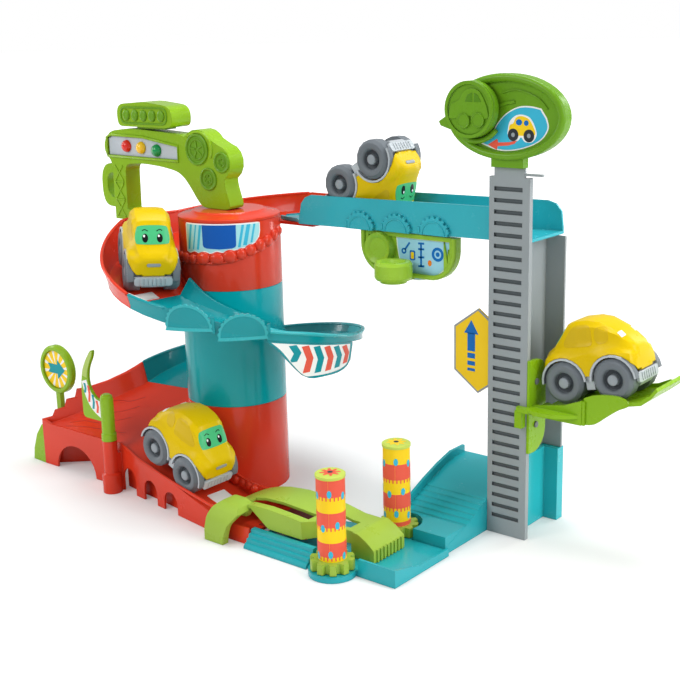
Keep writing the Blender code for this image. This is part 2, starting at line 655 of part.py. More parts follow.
def build_tower():
    right = TOWER_LEFT + TOWER_WIDTH
    back = TOWER_FRONT + TOWER_FLANGE
    plate = TOWER_FRONT + TOWER_PLATE
    section = [(TOWER_LEFT, TOWER_FRONT), (right, TOWER_FRONT), (right, back), (right - 2.5, back),
               (right - 2.5, plate), (TOWER_LEFT + 2.5, plate), (TOWER_LEFT + 2.5, back), (TOWER_LEFT, back)]
    body = prism("tower_front", section, "z", 0, TOWER_SHOULDER, grey())
    neck = box("tower_neck", (TOWER_LEFT + 5.6, TOWER_FRONT, TOWER_SHOULDER - 4),
               (right - 5.6, plate, NECK_TOP), grey())
    fuse(body, neck)
    points = []
    faces = []
    for number in range(SLOT_COUNT):
        z = SLOT_TOP - number * SLOT_PITCH
        low = (TOWER_LEFT + 5.7, TOWER_FRONT - 3, z - SLOT_HEIGHT / 2)
        high = (low[0] + SLOT_LENGTH, TOWER_FRONT + SLOT_DEPTH, z + SLOT_HEIGHT / 2)
        start = len(points)
        points += [(x, y, h) for h in (low[2], high[2]) for x, y in
                   ((low[0], low[1]), (high[0], low[1]), (high[0], high[1]), (low[0], high[1]))]
        faces += [[start + i for i in face] for face in
                  ((3, 2, 1, 0), (4, 5, 6, 7), (0, 1, 5, 4), (1, 2, 6, 5), (2, 3, 7, 6), (3, 0, 4, 7))]
    cut(body, mesh_object("ratchet_slots", points, faces, grey()))
    rear = BRIDGE_FRONT + BRIDGE_WIDTH
    top = bridge_floor(TOWER_LEFT) - BRIDGE_FLOOR - 1.2
    section = [(WEB_X, plate + GAP), (WEB_X + 2.5, plate + GAP), (WEB_X + 2.5, rear - 4),
               (right, rear - 4), (right, rear - 1), (WEB_X, rear - 1)]
    prism("tower_rear", section, "z", FOOT_TOP + GAP, top, grey())
    foot = [(TOWER_LEFT, back + GAP), (WEB_X + 8, back + GAP), (WEB_X + 8, rear - 10), (right, rear - 10),
            (right, rear + 2), (TOWER_LEFT, rear + 2)]
    prism("tower_foot", foot, "z", 0, FOOT_TOP, teal())


def bridge_floor(x):
    """Height of the bridge's floor, which falls towards the column."""
    low = interpolate(FLOOR_HEIGHTS, 60) + GAP + BRIDGE_FLOOR
    return low + BRIDGE_RISE * (x - BRIDGE_LEFT) / (BRIDGE_RIGHT - BRIDGE_LEFT)


def build_bridge():
    front = BRIDGE_FRONT
    back = BRIDGE_FRONT + BRIDGE_WIDTH
    rows = ((BRIDGE_LEFT, 68.0, 80.0, 1.2), (32, 62.0, 108.0, 1.2), (50, 58.0, back, 1.2),
            (BRIDGE_WALL_START, front, back, 1.2), (BRIDGE_WALL_START + 4, front, back, 20.0),
            (BRIDGE_WALL_START + 10, front, back, 27.0), (BRIDGE_WALL_START + 18, front, back, 30.0),
            (BRIDGE_RIGHT - 18, front, back, 30.0), (BRIDGE_RIGHT - 8, front, back, 27.0),
            (BRIDGE_RIGHT - 2, front, back, 20.0),
            (BRIDGE_RIGHT, front, back, 3.0))
    loops = []
    for x, y0, y1, tall in rows:
        floor = bridge_floor(x)
        under = floor - BRIDGE_FLOOR
        wall = BRIDGE_WALL
        loops.append([(x, y0, under), (x, y1, under), (x, y1, floor + tall), (x, y1 - wall, floor + tall),
                      (x, y1 - wall, floor), (x, y0 + wall, floor), (x, y0 + wall, floor + tall),
                      (x, y0, floor + tall)])
    body = loft("bridge", loops, teal())
    for number, x in enumerate((150.0, 198.0, 246.0)):
        z = bridge_floor(x) - BRIDGE_FLOOR
        outline = [(px, pz) for px, pz in gear_outline(20, 2.4, 18, (x, z)) if pz >= z - 0.5]
        outline.sort(key=lambda p: math.atan2(p[1] - z, p[0] - x))
        fuse(body, prism(f"bridge_gear_{number}", outline, "y", front - 3.0, front + 1.0, teal()))


def build_hanging_panel():
    """Panel with a dish and a turning knob, hung under the bridge."""
    x0, x1 = 149.0, 271.0
    z1 = bridge_floor(x0) - BRIDGE_FLOOR - GAP
    drop = 46.0
    corner = 32.0
    outline = [(x0, z1), (x1, z1 + 0.0)]
    outline += ring_outline(corner, corner, 8, (x1 - corner, z1 - drop + corner), 0, -math.pi / 2)
    outline += ring_outline(corner, corner, 8, (x0 + corner, z1 - drop + corner), -math.pi / 2, -math.pi)
    body = prism("hanging_panel", outline, "y", 50, 58, green())
    inset = [(x, z) for x, z in ring_outline(52, 30, 24, (210, z1 - 20)) if z < z1 - 4]
    inset = [(158, z1 - 4.5)] + [(262, z1 - 4.5)] + sorted(inset, key=lambda p: -p[0])
    recess = prism("panel_recess", inset, "y", 48, 53, green())
    cut(body, recess)
    dish = turn("panel_dish", [(0, 46), (11, 46), (14, 44), (16.5, 43), (17.5, 46), (17.5, 54), (0, 54)], 24, green(),
                (174, 0, z1 - 18), "y")
    shelf = turn("knob_shelf", [(0, z1 - 47.6), (14, z1 - 47.6), (14, z1 - 45), (0, z1 - 45)], 24, green(), (208, 27, 0))
    arm = box("knob_arm", (199, 30, z1 - 47.6), (217, 57, z1 - 45), green())
    fuse(body, dish, shelf, arm)
    low = z1 - 45 + GAP
    turn("panel_knob", [(0, low), (18, low), (20, low + 3), (20, low + 16), (18, low + 19), (13, low + 19),
                        (10, low + 16), (0, low + 16)], 24, green(), (208, 27, 0))


def build_top_sign():
    back = TOWER_FRONT + 5
    front = back - SIGN_THICK
    oval = ring_outline(SIGN_HALF_W, SIGN_HALF_H, 44, (SIGN_X, SIGN_Z))
    body = prism("top_sign", oval, "y", front, back, green())
    recess = prism("sign_recess", ring_outline(SIGN_HALF_W - 7, SIGN_HALF_H - 7, 36, (SIGN_X, SIGN_Z)), "y",
                   front - 5, front + 3, green())
    neck = box("sign_neck", (TOWER_LEFT + 5, front + 3, NECK_TOP + GAP),
               (TOWER_LEFT + TOWER_WIDTH - 5, back, NECK_TOP + 22), green())
    cut(body, recess)
    fuse(body, neck)
    knob = turn("sign_knob", [(0, -11), (SIGN_KNOB_R - 4, -11), (SIGN_KNOB_R, -8), (SIGN_KNOB_R, -1),
                              (SIGN_KNOB_R - 2, 0), (10, 0), (10, 3), (0, 3)], 32, green(),
                (SIGN_KNOB_X, front - GAP, SIGN_KNOB_Z), "y")
    lip = prism("knob_lip", [(-34, -16), (-36, -12), (-20, -2), (0, -12), (-8, -24)], "y", -9, -3, green(),
                (SIGN_KNOB_X, front - GAP, SIGN_KNOB_Z))
    fuse(knob, lip)
    hexagon = [(ARROW_X - 29, 166), (ARROW_X - 29, 213), (ARROW_X, 234), (ARROW_X + 29, 213), (ARROW_X + 29, 166),
               (ARROW_X, 145)]
    prism("arrow_sign", hexagon, "y", TOWER_FRONT + TOWER_FLANGE + GAP, TOWER_FRONT + TOWER_FLANGE + 2.8,
          material("sign_yellow", (0.9, 0.68, 0.02)))


# Lift

def build_lift():
    """Carriage that slides on the tower's edge, and the tray that tips on it."""
    right = TOWER_LEFT + TOWER_WIDTH
    near = right + GAP
    steel = material("steel", (0.6, 0.6, 0.62), 0.3, 1.0)
    outline = [(38, 94), (52, 93), (63, 98), (69, 106), (70.6, 116), (70.6, 172), (68, 182), (61, 188), (50, 190),
               (38, 190)]
    body = prism("lift_carriage", soft(outline, 5, 2, lambda p: p[0] < 40), "x", near, near + 2.6, green())
    guide = box("carriage_guide", (right - 14, TOWER_FRONT + TOWER_FLANGE + GAP, 128),
                (near + 1, BRIDGE_FRONT - GAP, 164), green())
    shelf_end = right + 57.4
    plan = [(right - 9, 30), (HINGE_X, 27.5), (right + 26, 27.5), (right + 40, 32), (right + 52, 41),
            (shelf_end, 46), (near, 46), (near, TOWER_FRONT - GAP), (right - 9, TOWER_FRONT - GAP)]
    shelf = prism("carriage_shelf", soft(plan, 5, 2, lambda p: p[1] > 35), "z", 139, 143, green())
    clip = box("carriage_clip", (right - 9, 30, 122), (right - 1, TOWER_FRONT - GAP, 140), green())
    side = prism("carriage_side", [(near, 134), (right + 18, 133), (shelf_end, 133), (shelf_end, 158), (right + 38, 150),
                                   (near, 143)],
                 "y", 43, 46, green())
    fuse(body, guide, shelf, clip, side)
    hole = turn("carriage_bore", [(0, 20), (2.8, 20), (2.8, 60), (0, 60)], 12, green(), (HINGE_X, 0, HINGE_Z), "y")
    cut(body, hole)
    for name, z in (("upper_screw", 166.8), ("lower_screw", 122.0)):
        prism(name, ring_outline(3.2, 3.2, 12, (51, z)), "x", near + 2.9, near + 4.2, steel)
    turn("tray_pin", [(0, 40.5), (2.5, 40.5), (2.5, 62), (0, 62)], 12, steel, (HINGE_X, 0, HINGE_Z), "y")
    build_tray()


def build_tray():
    """Car tray: floor, side walls and an upturned tail, with a knuckle on the hinge pin."""
    place = (HINGE_X, 0, HINGE_Z)
    floor = [(-2, 0), (6, 5.5), (104, 27.6), (115, 36), (120, 43.5), (122, 40.5), (116, 32.5), (106, 24.2), (8, 1.8),
             (2, -3)]
    body = prism("lift_tray", floor, "y", 48.5, 112, green(), place)
    wall = [(48, -5), (48, 22), (56, 26), (69, 29), (85, 30), (94, 26), (96, 22), (85, 17), (72, 7), (60, -3)]
    front = prism("tray_front_wall", soft(wall, 5, 2, lambda p: p[0] < 50), "y", 46.3, 49.3, green(), place)
    low_wall = [(10, 4), (10, 10), (48, 19), (94, 29), (106, 35), (112, 34), (98, 23)]
    rear = prism("tray_rear_wall", low_wall, "y", 110.4, 113, green(), place)
    knuckle = turn("tray_knuckle", [(0, 48.5), (5, 48.5), (5, 64), (0, 64)], 14, green(), place, "y")
    fuse(body, front, rear, knuckle)
    hole = turn("tray_bore", [(0, 30), (2.8, 30), (2.8, 62.3), (0, 62.3)], 12, green(), place, "y")
    cut(body, hole)


# Traffic light arch

ARCH_Y = -3.0
ARCH_DEPTH = 22.0


def build_arch():
    """Arch from the spiral's rim to the column's cap, with lamps and a visor."""
    half = ARCH_DEPTH / 2
    y0, y1 = ARCH_Y - half, ARCH_Y + half
    base = UPPER_TOP + CAP_HEIGHT + 2 * GAP
    outline = [(-176, 296), (-150, 296), (-150, 300.6), (-137, 300.6), (-137, 305), (-154, 309), (-153, 362),
               (-120, 364), (-90, 362), (-64, 358), (-52, 350), (-42, 338), (-33, 326), (-25, base), (18, base),
               (9, 347)]
    outline += ring_outline(20, 20, 7, (-1, 370), -math.pi / 3, math.pi / 2.2)
    outline += ring_outline(25, 25, 7, (-31, 381), math.pi / 5, math.pi * 0.78)
    outline += [(-64, 400), (-140, 404), (-176, 400), (-188, 388), (-188, 374), (-176, 364)]
    outline = soft(outline, 9, 3, lambda p: p[1] < 313 or -50 < p[0] and p[1] > 350)
    body = prism("arch_frame", outline, "y", y0, y1, green())
    recess = prism("lamp_recess", [(-182, 371), (-182, 392), (-174, 395), (-120, 394), (-62, 386), (-62, 370)],
                   "y", y0 - 5, y0 + 4, green())
    ear = soft([(-170, 309), (-196, 309), (-203, 322), (-203, 348), (-194, 361), (-170, 361)], 12, 4,
               lambda p: p[0] > -175)
    ear_out = prism("arch_ear", ear, "y", ARCH_Y - 6, ARCH_Y + 6, green())
    inside = soft([(-177.5, 320), (-186, 320), (-193.5, 328), (-193.5, 343), (-187, 350), (-177.5, 350)], 7, 3)
    ear_hole = prism("arch_ear_hole", inside, "y", ARCH_Y - 9, ARCH_Y + 9, green())
    cut(body, recess)
    fuse(body, ear_out)
    cut(body, ear_hole)
    panel = [(-181, 372), (-181, 391.5), (-173, 394), (-120, 393), (-63, 385.5), (-63, 371)]
    prism("lamp_panel", panel, "y", y0 + 1.5, y0 + 4 - GAP, material("panel_grey", (0.42, 0.44, 0.47), 0.35))
    lamps = (("red_lamp", -149, 383, (0.8, 0.03, 0.02)), ("yellow_lamp", -124, 382, (0.85, 0.6, 0.02)),
             ("green_lamp", -98, 380, (0.0, 0.4, 0.12)))
    for name, x, z, colour in lamps:
        profile = [(0, -5.5), (3.5, -4.8), (6, -3), (7.2, 0), (7.2, 0.9), (0, 0.9)]
        turn(name, profile, 20, material(name + "_lens", colour, 0.1), (x, y0 + 1.5 - 0.9 - GAP, z), "y")
    sign = [(-154, 411), (-150, 406.5), (-68, 406.5), (-63, 411), (-63, 424), (-70, 431), (-110, 435), (-150, 432),
            (-155, 424)]
    visor = prism("visor_sign", soft(sign, 7, 3), "y", y0 - 6, y1 + 2, green())
    stalk = box("visor_stalk", (-130, y0 + 2, 403.8), (-84, y1 - 2, 410), green())
    fuse(visor, stalk)


# Cars

def car_outline(half, low, fender, cabin, top):
    """Body section across the car: fenders below, a narrower cabin above."""
    rise = top - fender
    side = [(half, low), (half, fender - 6), (half - 2, fender - 1.5), (cabin + 2.5, fender + 0.06 * rise),
            (cabin, fender + 0.3 * rise), (cabin - 1.5, fender + 0.78 * rise), (cabin - 6, fender + 0.96 * rise),
            (cabin * 0.35, top)]
    return [(-y, z) for y, z in side] + [(y, z) for y, z in reversed(side)]


# Place along the car, half width, lower edge, fender top, cabin half width, roof
CAR_BODY = ((-50, 19, 27, 42, 13, 46), (-46, 24.5, 26, 46, 16, 53), (-34, 27, 26, 49, 19.5, 66),
            (-16, 27.5, 26, 50, 21.5, 77.2), (-4, 27, 26, 50, 22.5, 80), (8, 27, 26, 50, 22.5, 80),
            (18, 27, 26, 50, 21.5, 77.5), (29, 27.5, 26, 51, 20, 65), (36, 27.5, 26, 50, 19, 56.5),
            (43, 26, 26, 48, 17.5, 52.5), (48, 22.5, 26, 44, 15, 48.5), (50, 18, 28, 41, 12, 44))


def build_car(number, at, turned):
    """One car: shell, chassis and two wheel sets, on an empty that gives its place."""
    place = bpy.data.objects.new(f"car_{number}", None)
    bpy.context.scene.collection.objects.link(place)
    place.location = Vector(at) * MM
    place.rotation_euler = Euler([math.radians(a) for a in turned])
    yellow = material("yellow_plastic", (0.85, 0.68, 0.01))
    pale = material("pale_grey_plastic", (0.62, 0.64, 0.66))
    tyre = material("tyre_grey", (0.26, 0.28, 0.29), 0.45)
    loops = [[(x, y, z) for y, z in car_outline(*rest)] for x, *rest in CAR_BODY]
    shell = loft(f"car_{number}_shell", loops, yellow, parent=place)
    tub = [[(x, y, z) for y, z in ((-w, 22), (w, 22), (w, 25.7), (-w, 25.7))]
           for x, w in ((-50, 18), (-46, 24.3), (46, 24.3), (50, 18))]
    chassis = loft(f"car_{number}_chassis", tub, pale, parent=place)
    keel = [[(x, y, z) for y, z in ((-w, low), (w, low), (w, 24), (-w, 24))]
            for x, w, low in ((-49, 12, 15), (-45, 13, 11), (45, 13, 11), (49, 12, 15))]
    fuse(chassis, loft(f"keel_{number}", keel, pale, parent=place))
    fuse(chassis, box(f"sill_{number}", (-4.5, -23.5, 12), (4.5, 23.5, 24.5), pale, parent=place))
    half = CAR_WIDTH / 2
    ends = (("rear", -WHEEL_BASE / 2), ("front", WHEEL_BASE / 2))
    for end, x in ends:
        for side in (-1, 1):
            near, far = sorted((side * (half - 8.5), side * (half - 1.6)))
            band = WHEEL_R + WELL_GAP + ARCH_BAND
            arch = ring_outline(band, band, 13, (0, 0), 0, math.pi)
            fuse(chassis, prism(f"band_{number}_{end}_{side}", arch, "y", near, far, pale, (x, 0, WHEEL_R), place))
            opening = band + GAP
            near, far = sorted((side * (half - WHEEL_WIDTH - 1.8), side * (half + 5)))
            cut(shell, turn(f"opening_{number}_{end}_{side}",
                            [(0, near), (opening, near), (opening, far), (0, far)], 24, yellow,
                            (x, 0, WHEEL_R), "y", place))
    for end, x in ends:
        for side in (-1, 1):
            near, far = sorted((side * (half - WHEEL_WIDTH - 1.0), side * (half + 6)))
            well = WHEEL_R + WELL_GAP
            cut(chassis, turn(f"well_{number}_{end}_{side}", [(0, near), (well, near), (well, far), (0, far)], 24,
                              pale, (x, 0, WHEEL_R), "y", place))
        bore = AXLE_R + GAP
        cut(chassis, turn(f"axle_bore_{number}_{end}", [(0, -20), (bore, -20), (bore, 20), (0, 20)], 10,
                          pale, (x, 0, WHEEL_R), "y", place))
        inside = half - WHEEL_WIDTH
        edge = [(0, half - 2), (4.5, half - 2), (6, half - 6), (10, half - 6), (13, half - 0.3), (17.5, half),
                (WHEEL_R, half - 3.5), (WHEEL_R, inside), (AXLE_R, inside)]
        profile = [(r, -y) for r, y in edge] + [(r, y) for r, y in reversed(edge)]
        turn(f"car_{number}_{end}_wheels", profile, 16, tyre, (x, 0, WHEEL_R), "y", place)


def remove_all():
    for thing in list(bpy.data.objects):
        bpy.data.objects.remove(thing, do_unlink=True)


# Number, place and turn of each car
CARS = ((1, (-56.5, -75.0, 248.8), (-3.25, 18, -37.0)),
        (2, (4.0, -92.0, 39.1), (1.75, 23.0, -3.0)),
        (3, (HINGE_X + 53.5, 80.0, HINGE_Z + 16.8), (0.0, 12.5, 180.0)),
        (4, (128.2, 80.0, 378.9), (180.0, -33.0, 0.0)))


def main():
    remove_all()
    build_column()
    build_tracks()
    build_gate()
    build_round_sign()
    build_base()
    build_ramp()
    build_rollers()
    build_deck()
    build_tower()
    build_bridge()
    build_hanging_panel()
    build_top_sign()
    build_lift()
    build_arch()
    for number, at, turned in CARS:
        build_car(number, at, turned)


main()
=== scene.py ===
"""Looks of the toy garage: smooth moulded plastic skins, printed stickers, lights and camera."""
import json
from math import atan2, cos, degrees, hypot, pi, radians, sin, sqrt, tau

import bmesh
import bpy
from mathutils import Euler, Matrix, Vector
from mathutils.bvhtree import BVHTree


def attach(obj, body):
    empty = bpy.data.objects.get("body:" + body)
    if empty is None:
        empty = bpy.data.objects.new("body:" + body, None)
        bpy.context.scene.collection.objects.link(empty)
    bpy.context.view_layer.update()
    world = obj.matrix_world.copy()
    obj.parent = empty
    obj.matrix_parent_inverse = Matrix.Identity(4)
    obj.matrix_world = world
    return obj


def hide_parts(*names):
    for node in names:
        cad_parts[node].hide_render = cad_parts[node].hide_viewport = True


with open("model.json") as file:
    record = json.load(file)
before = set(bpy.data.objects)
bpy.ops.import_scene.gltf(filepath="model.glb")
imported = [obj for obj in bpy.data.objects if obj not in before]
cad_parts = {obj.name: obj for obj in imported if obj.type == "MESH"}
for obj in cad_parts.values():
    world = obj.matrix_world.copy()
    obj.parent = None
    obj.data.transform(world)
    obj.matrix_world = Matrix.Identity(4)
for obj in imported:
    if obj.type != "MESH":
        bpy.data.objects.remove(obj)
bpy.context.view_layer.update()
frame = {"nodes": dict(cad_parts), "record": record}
RECORD = frame["record"]
NODE_BODY = {node: body for body, nodes in RECORD["behaviour"]["bodies"].items() for node in nodes}
SLOTS = {part["node"]: part["material_slot"] for part in RECORD["subparts"]}
MM = 0.001
BEAD_SIDES = 8
UP = Vector((0, 0, 1))
SCUFF, GRAIN = 0.08, 0.2


# Materials

def srgb(r, g, b):
    """Linear colour from a colour as it is seen, 0 to 255."""
    return tuple(((v / 255 + 0.055) / 1.055) ** 2.4 if v > 10 else v / 255 / 12.92 for v in (r, g, b))


def make(tree, kind):
    return tree.nodes.new("ShaderNode" + kind)


def mix_colour(tree, factor, one, two):
    node = make(tree, "Mix")
    node.data_type = "RGBA"
    for socket, value in ((node.inputs[0], factor), (node.inputs[6], one), (node.inputs[7], two)):
        if isinstance(value, bpy.types.NodeSocket):
            tree.links.new(value, socket)
        else:
            socket.default_value = (*value, 1.0)
    return node.outputs[2]


def scaled(tree, value, low, high, out_low=0.0, out_high=1.0):
    node = make(tree, "MapRange")
    tree.links.new(value, node.inputs["Value"])
    for key, number in (("From Min", low), ("From Max", high), ("To Min", out_low), ("To Max", out_high)):
        node.inputs[key].default_value = number
    return node.outputs["Result"]


def noise(tree, scale, detail=3.0, rough=0.5):
    node = make(tree, "TexNoise")
    tree.links.new(make(tree, "TexCoord").outputs["Object"], node.inputs["Vector"])
    node.inputs["Scale"].default_value = scale
    node.inputs["Detail"].default_value = detail
    node.inputs["Roughness"].default_value = rough
    return node.outputs["Fac"]


def plastic(name, colour, roughness, cloud=0.05, coat=0.0, edge=1.0, shine=0.24):
    """Moulded plastic: faint clouding, fine surface waviness, handling marks and softened edges."""
    made = bpy.data.materials.new("look_" + name)
    made.use_nodes = True
    tree = made.node_tree
    shader = tree.nodes["Principled BSDF"]
    base = srgb(*colour)
    dark = tuple(v * (1.0 - cloud * 1.5) for v in base)
    light = tuple(min(1.0, v * (1.0 + cloud)) for v in base)
    tone = mix_colour(tree, scaled(tree, noise(tree, 9.0, 2.0), 0.35, 0.65), dark, light)
    specks = scaled(tree, noise(tree, 180.0, 4.0, 0.6), 0.6, 0.8, 0.0, 0.1)
    pale = tuple(min(1.0, v * 1.2 + 0.02) for v in base)
    tree.links.new(mix_colour(tree, specks, tone, pale), shader.inputs["Base Color"])
    marks = scaled(tree, noise(tree, 45.0, 6.0, 0.7), 0.35, 0.75, roughness - SCUFF * 0.5, roughness + SCUFF)
    tree.links.new(marks, shader.inputs["Roughness"])
    shader.inputs["Specular IOR Level"].default_value = shine
    shader.inputs["Coat Weight"].default_value = coat
    bump = make(tree, "Bump")
    bump.inputs["Strength"].default_value = GRAIN
    bump.inputs["Distance"].default_value = 0.0002
    tree.links.new(noise(tree, 300.0, 2.0), bump.inputs["Height"])
    if edge:
        soft = make(tree, "Bevel")
        soft.samples = 4
        soft.inputs["Radius"].default_value = edge * MM
        tree.links.new(soft.outputs["Normal"], bump.inputs["Normal"])
    tree.links.new(bump.outputs["Normal"], shader.inputs["Normal"])
    return made


def ink(name, colour, roughness=0.35):
    """A printed colour."""
    return plastic(name, colour, roughness, edge=0)


LOOKS = {
    "red_plastic": plastic("red", (222, 58, 32), 0.22, coat=0.25),
    "teal_plastic": plastic("teal", (2, 148, 156), 0.22, coat=0.25),
    "lime_plastic": plastic("lime", (138, 182, 26), 0.25, coat=0.15),
    "grey_plastic": plastic("grey", (152, 160, 163), 0.36),
    "pale_grey_plastic": plastic("pale", (190, 197, 202), 0.32),
    "tyre_grey": plastic("tyre", (112, 119, 125), 0.42),
    "yellow_plastic": plastic("yellow", (224, 190, 2), 0.3, shine=0.14),
    "steel": plastic("steel", (120, 122, 126), 0.3),
    "red_lens": plastic("red_lens", (226, 40, 28), 0.12, coat=0.6),
    "yellow_lens": plastic("yellow_lens", (250, 200, 40), 0.12, coat=0.6),
    "green_lens": plastic("green_lens", (10, 150, 80), 0.12, coat=0.6),
    "yellow_card": plastic("yellow_card", (250, 206, 20), 0.4),
    "sign_yellow": plastic("sign_yellow", (250, 206, 20), 0.4),
    "panel_grey": plastic("panel_grey", (190, 198, 206), 0.25),
}
RED, TEAL, LIME, PALE = (LOOKS[name + "_plastic"] for name in ("red", "teal", "lime", "pale_grey"))
LIME_BASE = plastic("lime_base", (158, 188, 68), 0.3)
LIME_SIGN = plastic("lime_sign", (106, 158, 28), 0.28)
LIME_PANEL = plastic("lime_panel", (150, 192, 54), 0.28)
LIME_TRAY = plastic("lime_tray", (136, 182, 22), 0.28)
# lighter copy of the teal plastic, painted light on the balcony's bead and the half wheels' edges
TEAL_PAINTED_LIT = plastic("teal_painted_lit", (52, 178, 184), 0.24, coat=0.2)
TEAL_BASE = plastic("teal_base", (34, 168, 178), 0.22, coat=0.25)
TEAL_COLUMN = plastic("teal_column", (0, 164, 172), 0.22, coat=0.2)
# lighter teal painted on the balcony's inside, standing in for light where it lies in shade
BALCONY_PAINTED_LIGHT = plastic("balcony_painted_light", (46, 196, 204), 0.3)
TEAL_FOOT = plastic("teal_foot", (44, 182, 192), 0.22, coat=0.25)
TEAL_BRIDGE = plastic("teal_bridge", (48, 176, 190), 0.24, coat=0.2)
WHITE = plastic("white", (246, 246, 244), 0.4, cloud=0.01, edge=0)
CORAL = ink("coral", (236, 92, 70))
PRINT_TEAL = ink("print_teal", (0, 150, 160))
PRINT_BLUE = ink("print_blue", (0, 108, 190))
SKY = ink("sky", (58, 184, 216), 0.32)
PALE_BLUE = ink("pale_blue", (160, 214, 238))
ICE = ink("ice", (170, 226, 232), 0.3)
SUN = ink("sun", (254, 210, 24))
ORANGE = ink("orange", (240, 130, 40))
LEAF = ink("leaf", (196, 214, 90))
DARK = ink("dark", (44, 48, 54), 0.4)
BLACK = ink("black", (12, 14, 16), 0.3)
SCREEN_GREEN = ink("screen_green", (74, 190, 126), 0.3)
WINDOW_YELLOW = plastic("window_yellow", (212, 178, 10), 0.34, edge=0.3)
# dark grey: painted shade in the cars' wheel hollows, and the printed eye of the roller flowers
DARK_SHADE_AND_PRINT = plastic("dark_shade_and_print", (66, 72, 78), 0.4)
HUB_PALE = plastic("hub_pale", (152, 160, 166), 0.34)
LINE_RED = ink("line_red", (188, 50, 34))
KNOB_GREEN = plastic("knob_green", (84, 136, 20), 0.3)
TIP_GREEN = ink("tip_green", (178, 204, 104), 0.22)
PANEL_DARK = plastic("panel_dark", (96, 104, 112), 0.3)
# darker grey painted as shade in the bottoms of the tower plate's slots
SLOT_SHADE_GREY = plastic("slot_shade_grey", (92, 100, 103), 0.45)
BADGE_BLUE = ink("badge_blue", (0, 88, 178), 0.32)
# dark red painted as shade inside the deck's long slot
SLOT_SHADE_RED = plastic("slot_shade_red", (132, 30, 18), 0.45)
SILVER_LINE = ink("silver_line", (150, 156, 160))


# Mesh helpers

SKINS = {}
SURFACES = {}


def dress(piece, body, slot=None):
    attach(piece, body)


def object_from(name, points, faces, look, sharp=33.0):
    """A shaded mesh from points in metres; look is a material, or a list with a pick of one for each face."""
    mesh = bpy.data.meshes.new(name)
    mesh.from_pydata(points, [], faces)
    for item in (look if isinstance(look, list) else [look]):
        mesh.materials.append(item)
    mesh.update()
    mesh.shade_smooth()
    mesh.set_sharp_from_angle(angle=radians(sharp))
    made = bpy.data.objects.new(name, mesh)
    bpy.context.scene.collection.objects.link(made)
    return made


def weld(mesh):
    """Points and faces of a mesh, with its doubled points joined and its flat faces merged."""
    work = bmesh.new()
    work.from_mesh(mesh)
    bmesh.ops.remove_doubles(work, verts=work.verts, dist=2e-6)
    bmesh.ops.dissolve_limit(work, angle_limit=radians(0.5), verts=work.verts, edges=work.edges)
    work.verts.index_update()
    points = [v.co.copy() for v in work.verts]
    faces = [[v.index for v in face.verts] for face in work.faces]
    work.free()
    return points, faces


def skin(node, look=None, pick=None):
    """A smooth skin in the exact place of a CAD node; pick gives a face's look from its centre in mm."""
    points, faces = weld(frame["nodes"][node].data)
    made = object_from(node + "_skin", points, faces, look or LOOKS[SLOTS[node]])
    if pick:
        for face in made.data.polygons:
            face.material_index = pick(face.center / MM)
    weighted = made.modifiers.new("normals", "WEIGHTED_NORMAL")
    weighted.keep_sharp = True
    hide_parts(node)
    SKINS[node] = made
    dress(made, NODE_BODY[node], SLOTS[node])


def surface(node):
    """Search tree of a CAD node's faces."""
    if node not in SURFACES:
        mesh = frame["nodes"][node].data
        faces = [face.vertices for face in mesh.polygons]
        SURFACES[node] = BVHTree.FromPolygons([v.co for v in mesh.vertices], faces)
    return SURFACES[node]


def flat_shape(outlines, fine):
    """Points and triangles of a flat shape; outlines after the first are holes. Long edges are split."""
    work = bmesh.new()
    for outline in outlines:
        corners = [work.verts.new((x, y, 0)) for x, y in outline]
        for one, two in zip(corners, corners[1:] + corners[:1]):
            work.edges.new((one, two))
    bmesh.ops.triangle_fill(work, use_beauty=True, use_dissolve=False, edges=work.edges)
    for _ in range(7):
        long_edges = [e for e in work.edges if e.calc_length() > fine]
        if not long_edges:
            break
        bmesh.ops.subdivide_edges(work, edges=long_edges, cuts=1)
        bmesh.ops.triangulate(work, faces=[f for f in work.faces if len(f.verts) > 3])
    for face in work.faces:
        if face.normal.z < 0:
            face.normal_flip()
    work.verts.index_update()
    points = [(v.co.x, v.co.y) for v in work.verts]
    faces = [[v.index for v in face.verts] for face in work.faces]
    rim = [(loop.vert.index, loop.link_loop_next.vert.index)
           for face in work.faces for loop in face.loops if loop.edge.is_boundary]
    work.free()
    return points, faces, rim


def sticker(name, outlines, place, look, lift=0.25, fine=400.0, body="garage", slot=None, sharp=60.0):
    """A thin printed or moulded plate; place gives the point in mm for (u, v, height).

    lift is the height of its face, and edges longer than fine are split to follow a curved face.
    """
    if not isinstance(outlines[0][0], (tuple, list)):
        outlines = [outlines]
    flat, faces, rim = flat_shape(outlines, fine)
    points = [place(u, v, lift) for u, v in flat]
    under = {}
    for one, two in rim:
        for index in (one, two):
            if index not in under:
                under[index] = len(points)
                points.append(place(*flat[index], -0.2))
    faces = faces + [[two, one, under[one], under[two]] for one, two in rim]
    made = object_from(name, [p * MM for p in points], faces, look, sharp)
    dress(made, body, slot)


def axes(origin, across, up):
    """A plane's origin, its two directions and its normal, across x up."""
    across, up = Vector(across).normalized(), Vector(up).normalized()
    return Vector(origin), across, up, across.cross(up)


def plane(*face):
    """Place on a flat face, given as for axes."""
    origin, across, up, out = axes(*face)
    return lambda u, v, h: origin + across * u + up * v + out * h


def front(x, y, z):
    return plane((x, y, z), (1, 0, 0), (0, 0, 1))


def level(x, y, z):
    return plane((x, y, z), (1, 0, 0), (0, 1, 0))


